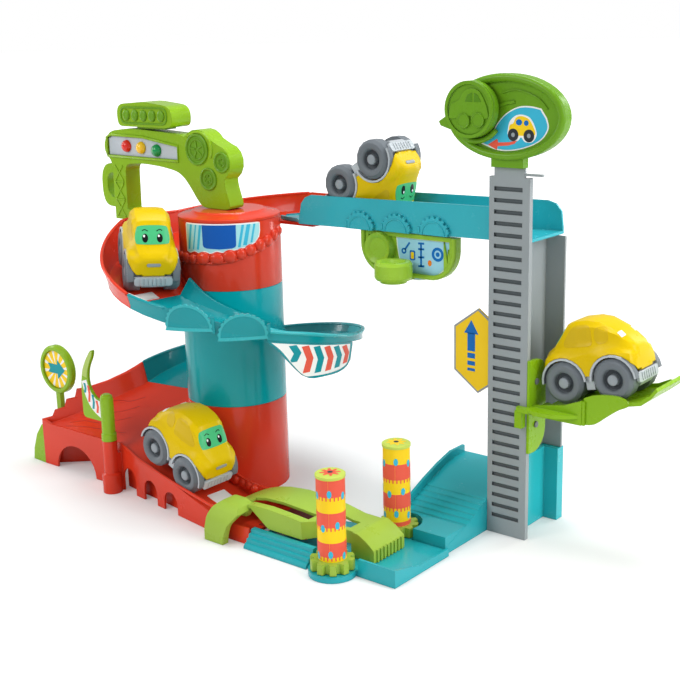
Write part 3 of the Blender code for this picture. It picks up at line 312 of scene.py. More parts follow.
def onto(node, origin, across, up, reach=60.0):
    """Place on a curved face: points of the plane drop along its normal onto the node's surface."""
    origin, across, up, out = axes(origin, across, up)
    tree = surface(node)

    def place(u, v, h):
        start = origin + across * u + up * v
        hit = tree.ray_cast((start + out * reach) * MM, -out, 2 * reach * MM)
        if hit[0] is None:
            hit = tree.find_nearest(start * MM)
        side = hit[1] if hit[1].dot(out) > 0 else -hit[1]
        return hit[0] / MM + (side * 0.4 + out * 0.6) * h
    return place


def spoke(radius, turn):
    """Point at a distance and an angle in radians."""
    return radius * cos(turn), radius * sin(turn)


def around(centre_x, centre_y, radius, zero):
    """Place on an upright cylinder: u runs round it, v is the height."""
    def place(u, v, h):
        x, y = spoke(radius + h, radians(zero) + u / radius)
        return Vector((centre_x + x, centre_y + y, v))
    return place


def square(x0, y0, x1, y1):
    return [(x0, y0), (x1, y0), (x1, y1), (x0, y1)]


def oval(rx, ry, sides, centre=(0, 0), start=0.0, end=tau):
    """Outline of an ellipse, or an open arc of it."""
    count = sides if end - start == tau else sides - 1
    return [(centre[0] + rx * cos(start + (end - start) * i / count),
             centre[1] + ry * sin(start + (end - start) * i / count)) for i in range(sides)]


def rounded(x0, y0, x1, y1, r, steps=4):
    x0, y0, x1, y1 = x0 + r, y0 + r, x1 - r, y1 - r
    corners = (((x1, y0), -90), ((x1, y1), 0), ((x0, y1), 90), ((x0, y0), 180))
    turns = [(at, spoke(r, radians(a + 90 * i / steps))) for at, a in corners for i in range(steps + 1)]
    return [(cx + x, cy + y) for (cx, cy), (x, y) in turns]


def smooth_line(points, steps=6):
    """Points of a smooth open line through the given ones."""
    out = []
    ends = [points[0]] + list(points) + [points[-1]]
    for a, b, c, d in zip(ends, ends[1:], ends[2:], ends[3:]):
        for i in range(steps):
            t = i / steps
            out.append(tuple(0.5 * (2 * q + (r - p) * t + (2 * p - 5 * q + 4 * r - s) * t * t
                                    + (3 * q - p - 3 * r + s) * t ** 3) for p, q, r, s in zip(a, b, c, d)))
    return out + [tuple(points[-1])]


def ribbon(points, half):
    """Outline of a line of even width."""
    left, right = [], []
    for i, (x, y) in enumerate(points):
        (ax, ay), (bx, by) = points[max(i - 1, 0)], points[min(i + 1, len(points) - 1)]
        size = hypot(bx - ax, by - ay) or 1.0
        nx, ny = -(by - ay) / size * half, (bx - ax) / size * half
        left.append((x + nx, y + ny))
        right.append((x - nx, y - ny))
    return left + right[::-1]


def turned(name, profile, sides, place, look, slot, body="garage", sharp=33.0):
    """A turned piece: profile rows are (radius, height) and place gives the point for (x, y, height)."""
    points, faces, rings = [], [], []
    for radius, height in profile:
        if radius < 1e-6:
            rings.append([len(points)] * sides)
            points.append(place(0, 0, height))
        else:
            rings.append(list(range(len(points), len(points) + sides)))
            points += [place(*spoke(radius, tau * i / sides), height) for i in range(sides)]
    for low, high in zip(rings, rings[1:]):
        for i in range(sides):
            j = (i + 1) % sides
            face = [low[i], low[j], high[j], high[i]]
            unique = [v for k, v in enumerate(face) if v not in face[:k]]
            if len(unique) > 2:
                faces.append(unique)
    made = object_from(name, [p * MM for p in points], faces, look, sharp)
    dress(made, body, slot)


def bead(name, rings, look, slot, close=False):
    """A round bead through rings of points in mm."""
    count, sides = len(rings), BEAD_SIDES
    faces = []
    for i in range(count if close else count - 1):
        a, b = i * sides, (i + 1) % count * sides
        faces += [[a + k, a + (k + 1) % sides, b + (k + 1) % sides, b + k] for k in range(sides)]
    if not close:
        faces += [list(range(sides))[::-1], list(range((count - 1) * sides, count * sides))]
    made = object_from(name, [p * MM for ring in rings for p in ring], faces, look, 60)
    work = bmesh.new()
    work.from_mesh(made.data)
    bmesh.ops.recalc_face_normals(work, faces=work.faces)
    work.to_mesh(made.data)
    work.free()
    dress(made, "garage", slot)


def tube(name, points, radius, look, slot):
    """A round bead along an open line of points in mm."""
    points = [Vector(p) for p in points]
    rings = []
    for i, point in enumerate(points):
        along = (points[min(i + 1, len(points) - 1)] - points[max(i - 1, 0)]).normalized()
        side = along.cross(UP if abs(along.z) < 0.9 else Vector((0, 1, 0))).normalized()
        top = side.cross(along)
        rings.append([point + side * x + top * y for x, y in oval(radius, radius, BEAD_SIDES)])
    bead(name, rings, look, slot)


def bead_on_face(name, outline, place, height, radius, look, close=True):
    """A round bead along a line on a face, in the face's own plane."""
    rings = []
    count = len(outline)
    for i, (u, v) in enumerate(outline):
        au, av = outline[i - 1] if i or close else outline[i]
        bu, bv = outline[(i + 1) % count] if i < count - 1 or close else outline[i]
        size = hypot(bu - au, bv - av) or 1.0
        nu, nv = (bv - av) / size, -(bu - au) / size
        rings.append([place(u + nu * x, v + nv * x, height + y) for x, y in oval(radius, radius, BEAD_SIDES)])
    bead(name, rings, look, "lime_plastic", close)


def dome(name, place, width, height, depth):
    """Half a rounded red lump on a face; place gives the point for (u, v, out)."""
    rows = [(1.0, 0.0), (0.97, 0.3), (0.87, 0.6), (0.66, 0.84), (0.36, 0.97), (0.0, 1.0)]

    def swell(x, y, h):
        return place(x * width, y * height, h * depth)
    turned(name, rows, 20, swell, RED, "red_plastic", sharp=60)


def between(table, value):
    """Value read from a table of rows, on a straight line between two rows."""
    for (a, p), (b, q) in zip(table, table[1:]):
        if value <= b:
            return p + (q - p) * max(0.0, value - a) / (b - a)
    return table[-1][1]


# Skins on all CAD nodes

TINTS = {"deck": LIME_BASE, "hanging_panel": LIME_PANEL, "panel_knob": LIME_PANEL, "top_sign": LIME_SIGN,
         "sign_knob": LIME_SIGN, "lift_tray": LIME_TRAY, "lift_carriage": LIME_TRAY, "corner_base": TEAL_BASE,
         "ramp": TEAL_BASE, "side_strip": TEAL_BASE, "tower_foot": TEAL_FOOT, "bridge": TEAL_BRIDGE,
         "middle_column": TEAL_COLUMN}
TOWER_X = 339.5
CURB_DROP = 0.003
WHEEL_X, WHEEL_R, HUB_FACE = 26.5, 21, 23.5
CARS = {1: ((-56.5, -75.0, 248.8), (-3.25, 18, -37.0)), 2: ((4.0, -92.0, 39.1), (1.75, 23.0, -3.0)),
        3: ((425.5, 80.0, 154.8), (0.0, 12.5, 180.0)), 4: ((128.2, 80.0, 378.9), (180.0, -33.0, 0.0))}


def car_place(number):
    """Place in mm of a car's own axes: x forward, z up from the ground."""
    at, angles = CARS[number]
    return Matrix.Translation(Vector(at)) @ Euler([radians(a) for a in angles]).to_matrix().to_4x4()


def chassis_pick(number):
    """Fender ends beside the tyres are tyre grey, the rest is pale."""
    back = car_place(number).inverted()

    def pick(at):
        at = back @ at
        return 1 if abs(at.y) > 20.2 and at.z < 41 and abs(abs(at.x) - WHEEL_X) < 26 and abs(at.x) > 36 else 0
    return pick


def slot_shade_pick(at):
    """The bottoms of the slots in the tower's plate are a darker grey, painted shade where the slots are
    deep.
    """
    return 1 if 38.3 < at.y < 40.7 and abs(at.x - TOWER_X) < 17 and 5 < at.z < 361 else 0


for node in sorted(frame["nodes"]):
    if node in ("front_roller", "rear_roller"):
        skin(node, [LIME_BASE, SUN], lambda at: 0 if at.z < 17.3 else 1)
    elif node.endswith("roller_cap"):
        skin(node, LEAF)
    elif node.endswith("_chassis"):
        skin(node, [PALE, LOOKS["tyre_grey"]], chassis_pick(int(node.split("_")[1])))
    elif node == "middle_track":
        skin(node, [TEAL, BALCONY_PAINTED_LIGHT])
    elif node == "tower_front":
        skin(node, [LOOKS["grey_plastic"], SLOT_SHADE_GREY], slot_shade_pick)
    else:
        skin(node, TINTS.get(node))
# The inside of the balcony is a lighter teal: painted light that lifts the shade the column and upper track
# cast on it
for face in SKINS["middle_track"].data.polygons:
    inward = face.normal.x * face.center.x + face.normal.y * face.center.y < 0
    if face.center.x > 0.072 and face.center.y > -0.07 and (inward or face.normal.z > 0.5):
        face.material_index = 1
# The curb beside the tower is a little lower than the solid
for point in SKINS["corner_base"].data.vertices:
    if point.co.x > 0.317 and point.co.z > 0.0105 and point.co.y > -0.1:
        point.co.z -= CURB_DROP


# Column: label and scalloped crown

COLUMN_R = 57.0
LABEL_ANGLE = 313.0


def dress_column():
    place = around(0, 0, COLUMN_R, LABEL_ANGLE)
    arc = COLUMN_R * radians(1)

    def bent(*rows):
        return [(turn * arc, z) for turn, z in rows]
    # Angle from the label's middle and height of the crown's ledge
    ledge = ((-90, 266), (-40, 267.5), (-17, 268), (2, 270), (19, 274.5), (35, 279.5), (50, 284.5), (62, 289),
             (80, 296))
    # Angle, half width and height of each lobe
    lobes = ((-79, 5.5, 8.5), (-68, 5.5, 9.5), (-57, 6.5, 9.5), (-44, 6, 8.5), (-30, 8, 11.5),
             (-14, 8, 10.5), (0.5, 7.5, 12), (13, 5.5, 10), (23.5, 6.5, 10.5), (35.5, 6, 11.5),
             (47, 7, 10.5), (59, 6, 10), (70, 5.5, 8))
    # Label with a waved low edge that follows the lobes
    low = []
    for turn in range(-54, 28, 2):
        wave = 0.9 * cos(radians(turn * 26))
        low.append((turn * arc, between(ledge, turn) + 11.0 + wave - (2.0 if turn > 8 else 0)))
    edge = low + bent((30, 288), (35, 294), (36.5, 300), (36.5, 309.6), (33, 310.3), (-53, 310.3),
                      (-54.5, 308))
    sticker("label_edge", edge, place, WHITE, 0.15, 3.0)
    low = [(u, z + 1.1) for u, z in low[1:]]
    field = low + bent((29.4, 289.4), (33.8, 294.6), (35.3, 300), (35.3, 308.9), (-52.6, 308.9))
    sticker("label_field", field, place, ICE, 0.25, 3.0)
    for number, (u, lean, half) in enumerate(((-50, 5, 1.6), (-43, 5, 0.9), (-36.5, 4.5, 1.5),
                                              (11, 5, 1.4), (17.5, 5, 2.2), (25, 4.5, 1.2))):
        base = between(ledge, u) + 14.2 - (2.0 if u > 8 else 0)
        u *= arc
        bar = [(u - half, base), (u + half, base), (u + lean + half, 308.6), (u + lean - half, 308.6)]
        sticker(f"label_streak_{number}", bar, place, SKY, 0.32, 3.0)
    badge = bent((-30, 308.9), (-29.6, 287.0), (-28.4, 284.8), (-25, 283.6), (-11, 282.8), (3, 283.6),
                 (6.6, 284.8), (7.8, 287.0), (8.2, 308.9))
    sticker("label_badge", badge, place, BADGE_BLUE, 0.38, 3.0)
    ring = []
    for turn in range(-90, 82, 4):
        ring.append((*spoke(COLUMN_R + 0.2, radians(LABEL_ANGLE + turn)), between(ledge, turn) - 0.6))
    tube("crown_ledge", ring, 1.7, RED, "red_plastic")
    for number, (turn, width, tall) in enumerate(lobes):
        middle = radians(LABEL_ANGLE + turn)
        foot = between(ledge, turn)

        def lobe(x, y, out, middle=middle, foot=foot, tall=tall):
            return Vector((*spoke(56.6 + out, middle + x / COLUMN_R), foot + tall / 2 - 1 + y))
        dome(f"crown_lobe_{number}", lobe, width * 1.08, tall / 2 + 1.6, 4.6)


# Cars

def dress_car(number):
    """Windows, a plain face, lamps, bumpers, hubs with painted shade in the wheels' hollows, and tyre rims.
    """
    move = car_place(number)
    rot = move.to_3x3()
    body = f"car_{number}"

    def patch(part, outlines, origin, across, up, look, lift=0.3, fine=3.0):
        place = onto(body + "_shell", move @ Vector(origin), rot @ Vector(across), rot @ Vector(up), 25.0)
        sticker(f"{body}_{part}", outlines, place, look, lift, fine, body, "yellow_plastic")

    glass = smooth_line([(-17.5, -9.5), (-18.4, -3), (-16.6, 6.5), (-13.5, 9.3), (0, 10), (13.5, 9.3),
                         (16.6, 6.5), (18.4, -3), (17.5, -9.5)], 4)
    glass += smooth_line([(17.5, -9.5), (14, -10.6), (0, -11.2), (-14, -10.6), (-17.5, -9.5)], 3)[1:-1]
    slope = (28.0, 0, 66), (0, 1, 0), (-0.64, 0, 0.77)
    patch("windscreen", glass, *slope, SCREEN_GREEN, 0.35, 2.5)
    for side in (-1, 1):
        patch(f"eye_{side}", oval(3.1, 4.9, 18, (side * 7.8, -4.2)), *slope, BLACK, 0.5, 2.5)
        patch(f"glint_{side}", oval(1.1, 1.4, 10, (side * 7.8 - 1.0, -1.9)), *slope, WHITE, 0.62, 2.5)
        brow = ribbon(smooth_line([(side * 4.6, 3.4), (side * 7.8, 5.2), (side * 10.6, 3.9)], 4), 0.45)
        patch(f"line_{side}", brow, *slope, BLACK, 0.5, 2.5)
        window = smooth_line([(-10, -8), (-10.5, 3), (-8, 9.5), (0, 10.6), (7, 9.6), (14, 4), (20, -4),
                              (21, -8), (17, -10), (0, -10.2), (-8, -10), (-10, -8)], 3)[:-1]
        rear = rounded(-8, -8, 5.5, 8, 5.5, 5)
        for part, outline, at in (("side_window", window, (2.0, side * 22, 65)),
                                  ("quarter_window", rear, (-17.0, side * 21, 64))):
            outline = [(-u * side, v) for u, v in outline]
            patch(f"{part}_{side}", outline, at, (-side, 0, 0), (0, 0, 1), WINDOW_YELLOW)
        lamp = rounded(-3.2, -3.2, 3.2, 3.2, 0.8, 3)
        patch(f"rear_lamp_{side}", lamp, (-36.5, side * 13.0, 63), (0, -1, 0), (0.62, 0, 0.78), WHITE, 0.6)
    bar = rounded(-7.5, -1.8, 7.5, 1.8, 1.7)
    patch("nose_bar", bar, (49.5, 0, 40.5), (0, 1, 0), (0, 0, 1), HUB_PALE, 0.7)
    for end, sign in (("front", 1), ("rear", -1)):
        bar = plane(move @ Vector((sign * 48.0, 0, 0)), rot @ Vector((0, sign, 0)), rot @ Vector((0, 0, 1)))
        sticker(f"{body}_{end}_bumper", rounded(-20.5, 15.5, 20.5, 25.9, 3.2), bar, PALE, 2.6, body=body,
                slot="pale_grey_plastic", sharp=45)
        for rib in range(7):
            y = -13.5 + rib * 4.5
            sticker(f"{body}_{end}_rib_{rib}", rounded(y - 0.8, 16.8, y + 0.8, 24.6, 0.7, 3), bar, PALE, 3.3,
                    body=body, slot="pale_grey_plastic")
    for end, x in (("rear", -WHEEL_X), ("front", WHEEL_X)):
        wheels = f"{body}_{end}_wheels"
        for side in (-1, 1):
            def hub(px, py, out, side=side, x=x):
                return move @ Vector((x + px, side * (HUB_FACE + out), WHEEL_R + py * side))
            # dark disc round each hub: painted shade in the wheel's hollow
            turned(f"{body}_{end}_recess_{side}", [(10.4, 0.3), (10.0, 0.05), (0, 0.05)], 28, hub, DARK_SHADE_AND_PRINT,
                   "tyre_grey", wheels)
            cap = [(4.9, 0.1), (5.4, 2.0), (5.4, 4.4), (4.6, 5.2), (2.5, 5.6), (0, 5.7)]
            turned(f"{body}_{end}_hub_{side}", cap, 24, hub, HUB_PALE, "tyre_grey", wheels)
            ring = [(10.3, 0.1), (10.2, 3.5), (11.4, 5.2), (13, 6), (16, 6.25), (17.4, 6.05), (17.6, 5)]
            turned(f"{body}_{end}_rim_{side}", ring, 36, hub, LOOKS["tyre_grey"], "tyre_grey", wheels, 50)


# Signs, cards and small moulded forms

def chevron(u, low, high, width, lean):
    middle = (low + high) / 2
    return [(u, low), (u + width, low), (u + width + lean, middle), (u + width, high), (u, high),
            (u + lean, middle)]


def dress_top_sign():
    """Teardrop field with a plain car and an arrow, rim beads and ridges on the tower's sign."""
    face = front(338, 33, 426)
    drop = smooth_line([(-27, -26), (-16, -17), (-9, -6), (0, 3), (13, 9.5), (26, 10.5), (38, 8.5)])
    drop += smooth_line([(44, 0), (46, -9), (40, -19), (28, -26), (10, -31), (-8, -31.5), (-27, -26)])[:-1]
    sticker("sign_drop_edge", drop, face, WHITE, 0.25, slot="lime_plastic")
    inner = [(14 + (u - 14) * 0.955, -12 + (v + 12) * 0.94) for u, v in drop]
    sticker("sign_drop", inner, face, SKY, 0.35, slot="lime_plastic")
    picture = front(355, 33, 416)
    halo = smooth_line([(-15, -5), (-13, 5), (-7, 11), (0, 12.6), (9, 10), (14.5, 2), (16.5, -6), (12, -12.5),
                        (4, -12.5), (0, -8.5), (-4, -12), (-12, -11.5), (-15, -5)], 4)[:-1]
    sticker("picture_edge", halo, picture, WHITE, 0.45)
    shape = smooth_line([(-13.4, -6), (-12.6, 2), (-8.5, 4.5), (-5.6, 9.6), (0, 11.2), (7.5, 8.9),
                         (12.5, 2.5), (14.6, -6), (0, -7), (-13.4, -6)], 4)[:-1]
    sticker("picture_car", shape, picture, SUN, 0.55)
    for number, (u, v, rx, ry) in enumerate(((-2.4, 5.4, 3.4, 2.9), (5.4, 4.9, 2.6, 2.6))):
        sticker(f"picture_window_{number}", oval(rx, ry, 18, (u, v)), picture, PRINT_BLUE, 0.65)
    for number, (u, v) in enumerate(((-8.6, -6.4), (8.4, -6.8))):
        sticker(f"picture_tyre_{number}", oval(5.7, 5.9, 24, (u, v)), picture, DARK, 0.7)
        sticker(f"picture_hub_{number}", oval(2, 2.1, 16, (u, v)), picture, HUB_PALE, 0.8)
    arrow = [(13, -21.5), (4, -23.4), (-8, -24.2), (-9, -20.6), (-19.5, -26.6), (-9.6, -31), (-8.6, -27.6),
             (3, -26.6), (10, -24.6)]
    sticker("sign_arrow", arrow, face, CORAL, 0.5)
    ridge = ribbon(smooth_line([(-4, 22), (8, 25), (22, 23), (36, 17), (45, 8)]), 0.6)
    bead_on_face("sign_rim", oval(60.6, 36.6, 64), face, 1.4, 3.9, LIME_SIGN)
    lip = [(x - 32, y + 7) for x, y in (spoke(30.5, radians(a)) for a in range(188, 322, 6))]
    bead_on_face("sign_lip", lip, face, 3.6, 2.6, LIME_SIGN, False)
    sticker("sign_ridge", ridge, face, LIME_SIGN, 1.2, slot="lime_plastic")
    bar = ribbon(smooth_line([(-8, 10), (0, 12.6), (10, 14.2)], 5), 1.3)
    sticker("sign_bar_low", bar, face, LIME_SIGN, 1.4, slot="lime_plastic")


def dress_sign_knob():
    """Relief of a plain toy car in the turning knob."""
    knob = front(306, 18.7, 433)
    sticker("knob_rim", [oval(27, 27, 48), oval(23.6, 23.6, 48)], knob, LIME_SIGN, 1.6, body="sign_knob")
    hull = smooth_line([(-22, -3), (-19, 5), (-11, 9), (-6, 16.5), (3, 20), (12, 17), (18, 8), (21, 0),
                        (20.5, -8), (0, -6), (-20, -9), (-22, -3)], 4)[:-1]
    sticker("knob_relief", hull, knob, LIME_SIGN, 1.2, body="sign_knob")
    wheel = [(7.2, 0), (7.2, 2.2), (6.6, 2.6), (6.0, 2.2), (5.6, 1.6), (0, 1.6)]
    for number, (u, v) in enumerate(((-5.5, -10.5), (10.5, -9.5))):
        place = front(306 + u, 18.7, 433 + v)
        turned(f"knob_wheel_{number}", wheel, 28, place, LIME_SIGN, "lime_plastic", "sign_knob")
    window = [(-4, 7.4), (-1, 13.8), (4.4, 16), (4.4, 7.4)]
    sticker("knob_window_a", window, knob, KNOB_GREEN, 1.35, body="sign_knob")
    window = [(6.4, 7.4), (6.4, 15.6), (10.8, 13.4), (14, 7.4)]
    sticker("knob_window_b", window, knob, KNOB_GREEN, 1.5, body="sign_knob")


def dress_arrow_sign():
    """Yellow card with an arrow on the hexagonal sign."""
    card = front(301, 44.3, 189.5)
    hexagon = [(0, -44.5), (29, -23.5), (29, 23.5), (0, 44.5), (-29, 23.5), (-29, -23.5)]
    inner = [(u * 0.93, v * 0.95) for u, v in hexagon]
    sticker("arrow_card_edge", hexagon, card, SILVER_LINE, 0.2)
    sticker("arrow_card", inner, card, SUN, 0.35)
    head = [(-14, -1), (14, -1), (0, 22)]
    shift, stem = -8.0, 4.6
    sticker("arrow_head", [(u * 0.62 + shift, v * 0.62 + 18) for u, v in head], card, PRINT_BLUE, 0.5)
    sticker("arrow_stem", square(shift - stem, -1, shift + stem, 18), card, PRINT_BLUE, 0.5)
    for number, (low, high) in enumerate(((-8.5, -3), (-16, -11.5), (-22, -19))):
        sticker(f"arrow_dash_{number}", square(shift - stem, low, shift + stem, high), card, PRINT_BLUE, 0.5)


def dress_neck():
    """Small tab at the tower's neck."""
    sticker("neck_tab", rounded(350, 38.5, 375, 43.5, 1.0), level(0, 0, 371), LOOKS["grey_plastic"], 1.8,
            slot="grey_plastic")


def dress_round_sign():
    """Sun rays and an arrow on the station's round sign."""
    disc = front(-224, -84, 116)
    sticker("round_card", oval(23.4, 23.4, 40), disc, SUN, 0.2)
    for number in range(12):
        a, b = tau * number / 12 + 0.1, tau * (number + 0.34) / 12 + 0.1
        ray = [spoke(5, (a + b) / 2), spoke(22.6, a), spoke(22.9, (a + b) / 2), spoke(22.6, b)]
        sticker(f"round_ray_{number}", ray, disc, WHITE, 0.35)
    way = [(-16, -5.5), (2, -5.5), (2, -12), (16, 0.5), (2, 12.5), (2, 6), (-16, 6), (-12, 0.2)]
    sticker("round_arrow", way, disc, PRINT_TEAL, 0.55)


def dress_gate():
    """Striped card and pale tip on the gate flap."""
    flap = front(-90, -121.1, 0)
    low_edge = [(-39.4, 126), (-34, 109), (-24, 95), (-9, 86.5)]
    high_edge = ((-39.4, 127), (-30, 124), (-24.5, 115), (-16.5, 108), (-9, 106.5))
    panel = smooth_line(low_edge) + [(-9, 106.5), (-16.5, 108), (-24.5, 115), (-29.6, 124), (-31, 129)]
    sticker("gate_card", panel, flap, WHITE, 0.25, body="gate")
    for number, u in enumerate((-36.6, -30.2, -23.6, -17.0)):
        low, high = between(low_edge, u + 2) + 2.2, between(high_edge, u) - 1.6
        look = (PRINT_TEAL, CORAL)[number % 2]
        sticker(f"gate_bar_{number}", chevron(u, low, high, 3.5, 1.6), flap, look, 0.4, body="gate")
    tip = smooth_line([(-38.4, 133), (-35.5, 142), (-31, 150), (-25, 158.5), (-20.6, 163.6), (-17.4, 164)], 4)
    tip += smooth_line([(-18.6, 159.5), (-24, 149.5), (-28.4, 139), (-30, 131.5)], 4)
    sticker("gate_tip", tip, flap, TIP_GREEN, 0.35, body="gate")


SCREEN_ANGLE, SCREEN_R = 352.5, 143.0
ROLLER_X, FRONT_ROLLER_Y, REAR_ROLLER_Y, ROLLER_R, GEAR_TOP = 252.0, -136.0, -31.0, 14.0, 17.2


def dress_screen():
    """Chevrons on the screen under the balcony."""
    middle = radians(SCREEN_ANGLE)
    out = Vector((*spoke(1, middle), 0))
    screen = onto("balcony_screen", out * SCREEN_R, UP.cross(out), UP, 30.0)
    corners = ((-52.5, 196.5), (-43, 186.5), (-32, 170.5), (-20, 157), (-9, 154.0), (20, 152.4), (41, 154.4),
               (48.5, 160), (52.5, 172), (53, 176))
    edge = smooth_line(corners, 4)
    sticker("screen_card", edge, screen, WHITE, 0.2, 4.0)
    for number in range(6):
        u = -35.5 + number * 14.4
        high = 195.0 - (u + 4 + 52.5) * 0.194
        low = between(corners, u + 4) + 3.0
        look = (PRINT_TEAL, CORAL)[number % 2]
        sticker(f"screen_bar_{number}", chevron(u, low, high, 8.6, 5.2), screen, look, 0.4, 4.0)


def dress_lift():
    """Lip of the carriage's side over its seam with the tray."""
    sticker("carriage_lip", square(418.8, 133.1, 422.4, 157.2), front(0, 45.8, 0), LIME_TRAY, 1.8,
            body=NODE_BODY["lift_carriage"])


def dress_ramp():
    """Raised landing between the car wash and the ramp, round the rear roller's gear."""
    landing = [(277.3, -38), (316.5, -38), (316.5, -3), (ROLLER_X, -3)]
    landing += oval(26, 26, 12, (ROLLER_X, REAR_ROLLER_Y), pi / 2, -0.273)
    sticker("ramp_landing", landing, level(0, 0, 6.5), TEAL_BASE, 12.0)


def dress_panel():
    """Card with plain tool pictures on the hanging panel."""
    z1 = 301.3
    board = front(210, 53, z1 - 20)
    edge = smooth_line([(-17, 15.2), (-15.5, 2), (-12, -12), (-5, -24), (4, -28.6), (16, -28.2), (30, -24),
                        (42, -16.6), (49, -8), (52.5, 4), (52.5, 15.2)], 5)
    sticker("panel_card_edge", edge, board, WHITE, 0.25)
    inner = [(17 + (u - 17) * 0.965, -3 + (v + 3) * 0.955) for u, v in edge]
    sticker("panel_card", inner, board, PALE_BLUE, 0.4)
    outline = [(151.6, z1)] + oval(29.4, 29.4, 12, (181, z1 - 14), pi, 1.5 * pi)
    outline += oval(29.4, 29.4, 12, (239, z1 - 14), 1.5 * pi, tau) + [(268.4, z1)]
    bead_on_face("panel_rim", outline, front(0, 50, 0), 0.6, 2.7, LIME_PANEL, False)
    tools = [("ring_a", [oval(7.4, 7.4, 28, (36, 1)), oval(4.4, 4.4, 24, (36, 1))]),
             ("ring_b", oval(2.4, 2.4, 16, (36, 1))), ("handle", ribbon([(-6, 2), (0.5, 10.5)], 1.0)),
             ("head", [oval(3.2, 3.2, 20, (-7, 1)), oval(1.4, 1.4, 16, (-7, 1))]),
             ("post", ribbon([(15, -14), (15, 10)], 1.1))]
    tools += [(f"bar_{number}", ribbon([(11.4, v), (19, v + 0.4)], 1.0))
              for number, v in enumerate((10.5, 4.5, -4, -13.5))]
    for name, outline in tools + [("can", rounded(0.5, -8, 7.5, 2.5, 1.6))]:
        sticker("tool_" + name, outline, board, PRINT_BLUE, 0.6)
    sticker("tool_can_mark", rounded(2.0, -6.5, 6.0, 0.8, 1.2), board, SUN, 0.7)
    sticker("tool_drop", oval(2.4, 3.2, 18, (26, -9)), board, ORANGE, 0.6)


def dress_rollers():
    """Printed bands with a comb's teeth, drops and a flower on top of each roller."""
    total, teeth = tau * ROLLER_R, 22
    step = total / teeth
    for name, y, flower, bands, drops in (
            ("front_roller", FRONT_ROLLER_Y, CORAL, ((99.7, 83), (67, 52.5), (36.5, 22)), (85.5, 53.5, 24)),
            ("rear_roller", REAR_ROLLER_Y, SUN, ((84, 67.5), (52, 37), (22, 17.5)), (86, 54, 30))):
        place = around(ROLLER_X, y, ROLLER_R, 300)
        for number, (high, low) in enumerate(bands):
            tip = max(low - 3.6, GEAR_TOP)
            comb = []
            for i in range(teeth):
                u = i * step
                comb += [(u + 0.2, low), (u + step * 0.3, low), (u + step * 0.34, tip),
                         (u + step * 0.62, tip), (u + step * 0.66, low)]
            comb += [(total - 0.02, low), (total - 0.02, high), (0.2, high)]
            sticker(f"{name}_band_{number}", comb, place, CORAL, 0.12, 3.2, name, sharp=80)
        for row, v in enumerate(drops):
            for i in range(6):
                u = total * (i + 0.5 * (row % 2)) / 6 + 1.0
                drop = oval(2.3, 3.9, 14, (u, v - (2.2 if i % 2 else -1.0)))
                sticker(f"{name}_drop_{row}_{i}", drop, place, SKY, 0.24, 2.5, name, sharp=80)
        top = level(ROLLER_X, y, 104)
        petals = [spoke(7.8 + 2.6 * cos(tau * i / 8), tau * i / 64) for i in range(64)]
        body = NODE_BODY[name + "_cap"]
        sticker(f"{name}_flower", petals, top, flower, 0.2, body=body)
        sticker(f"{name}_eye", oval(2.6, 2.6, 20), top, DARK_SHADE_AND_PRINT, 0.4, body=body)
        sticker(f"{name}_cross", square(-1.7, -0.4, 1.7, 0.4), top, BLACK, 0.5, body=body)


def dress_bridge():
    """Raised half wheels on the bridge's front wall."""
    wall = front(0, 44, 0)
    for number, x in enumerate((150, 198, 246)):
        z = 299.3 + 6 * (x - 16) / 342
        ring = oval(14.4, 14.4, 24, (x, z), 0, pi) + oval(13.0, 13.0, 24, (x, z), pi, 0)
        sticker(f"bridge_gear_{number}_ring", ring, wall, TEAL_BRIDGE, 0.7)
        for k in (-1, 1):
            tooth = square(x + k * 17.6 - 1.4, z + 2, x + k * 17.6 + 1.4, z + 8)
            sticker(f"bridge_notch_{number}_{k}", tooth, wall, TEAL_BRIDGE, 0.8)


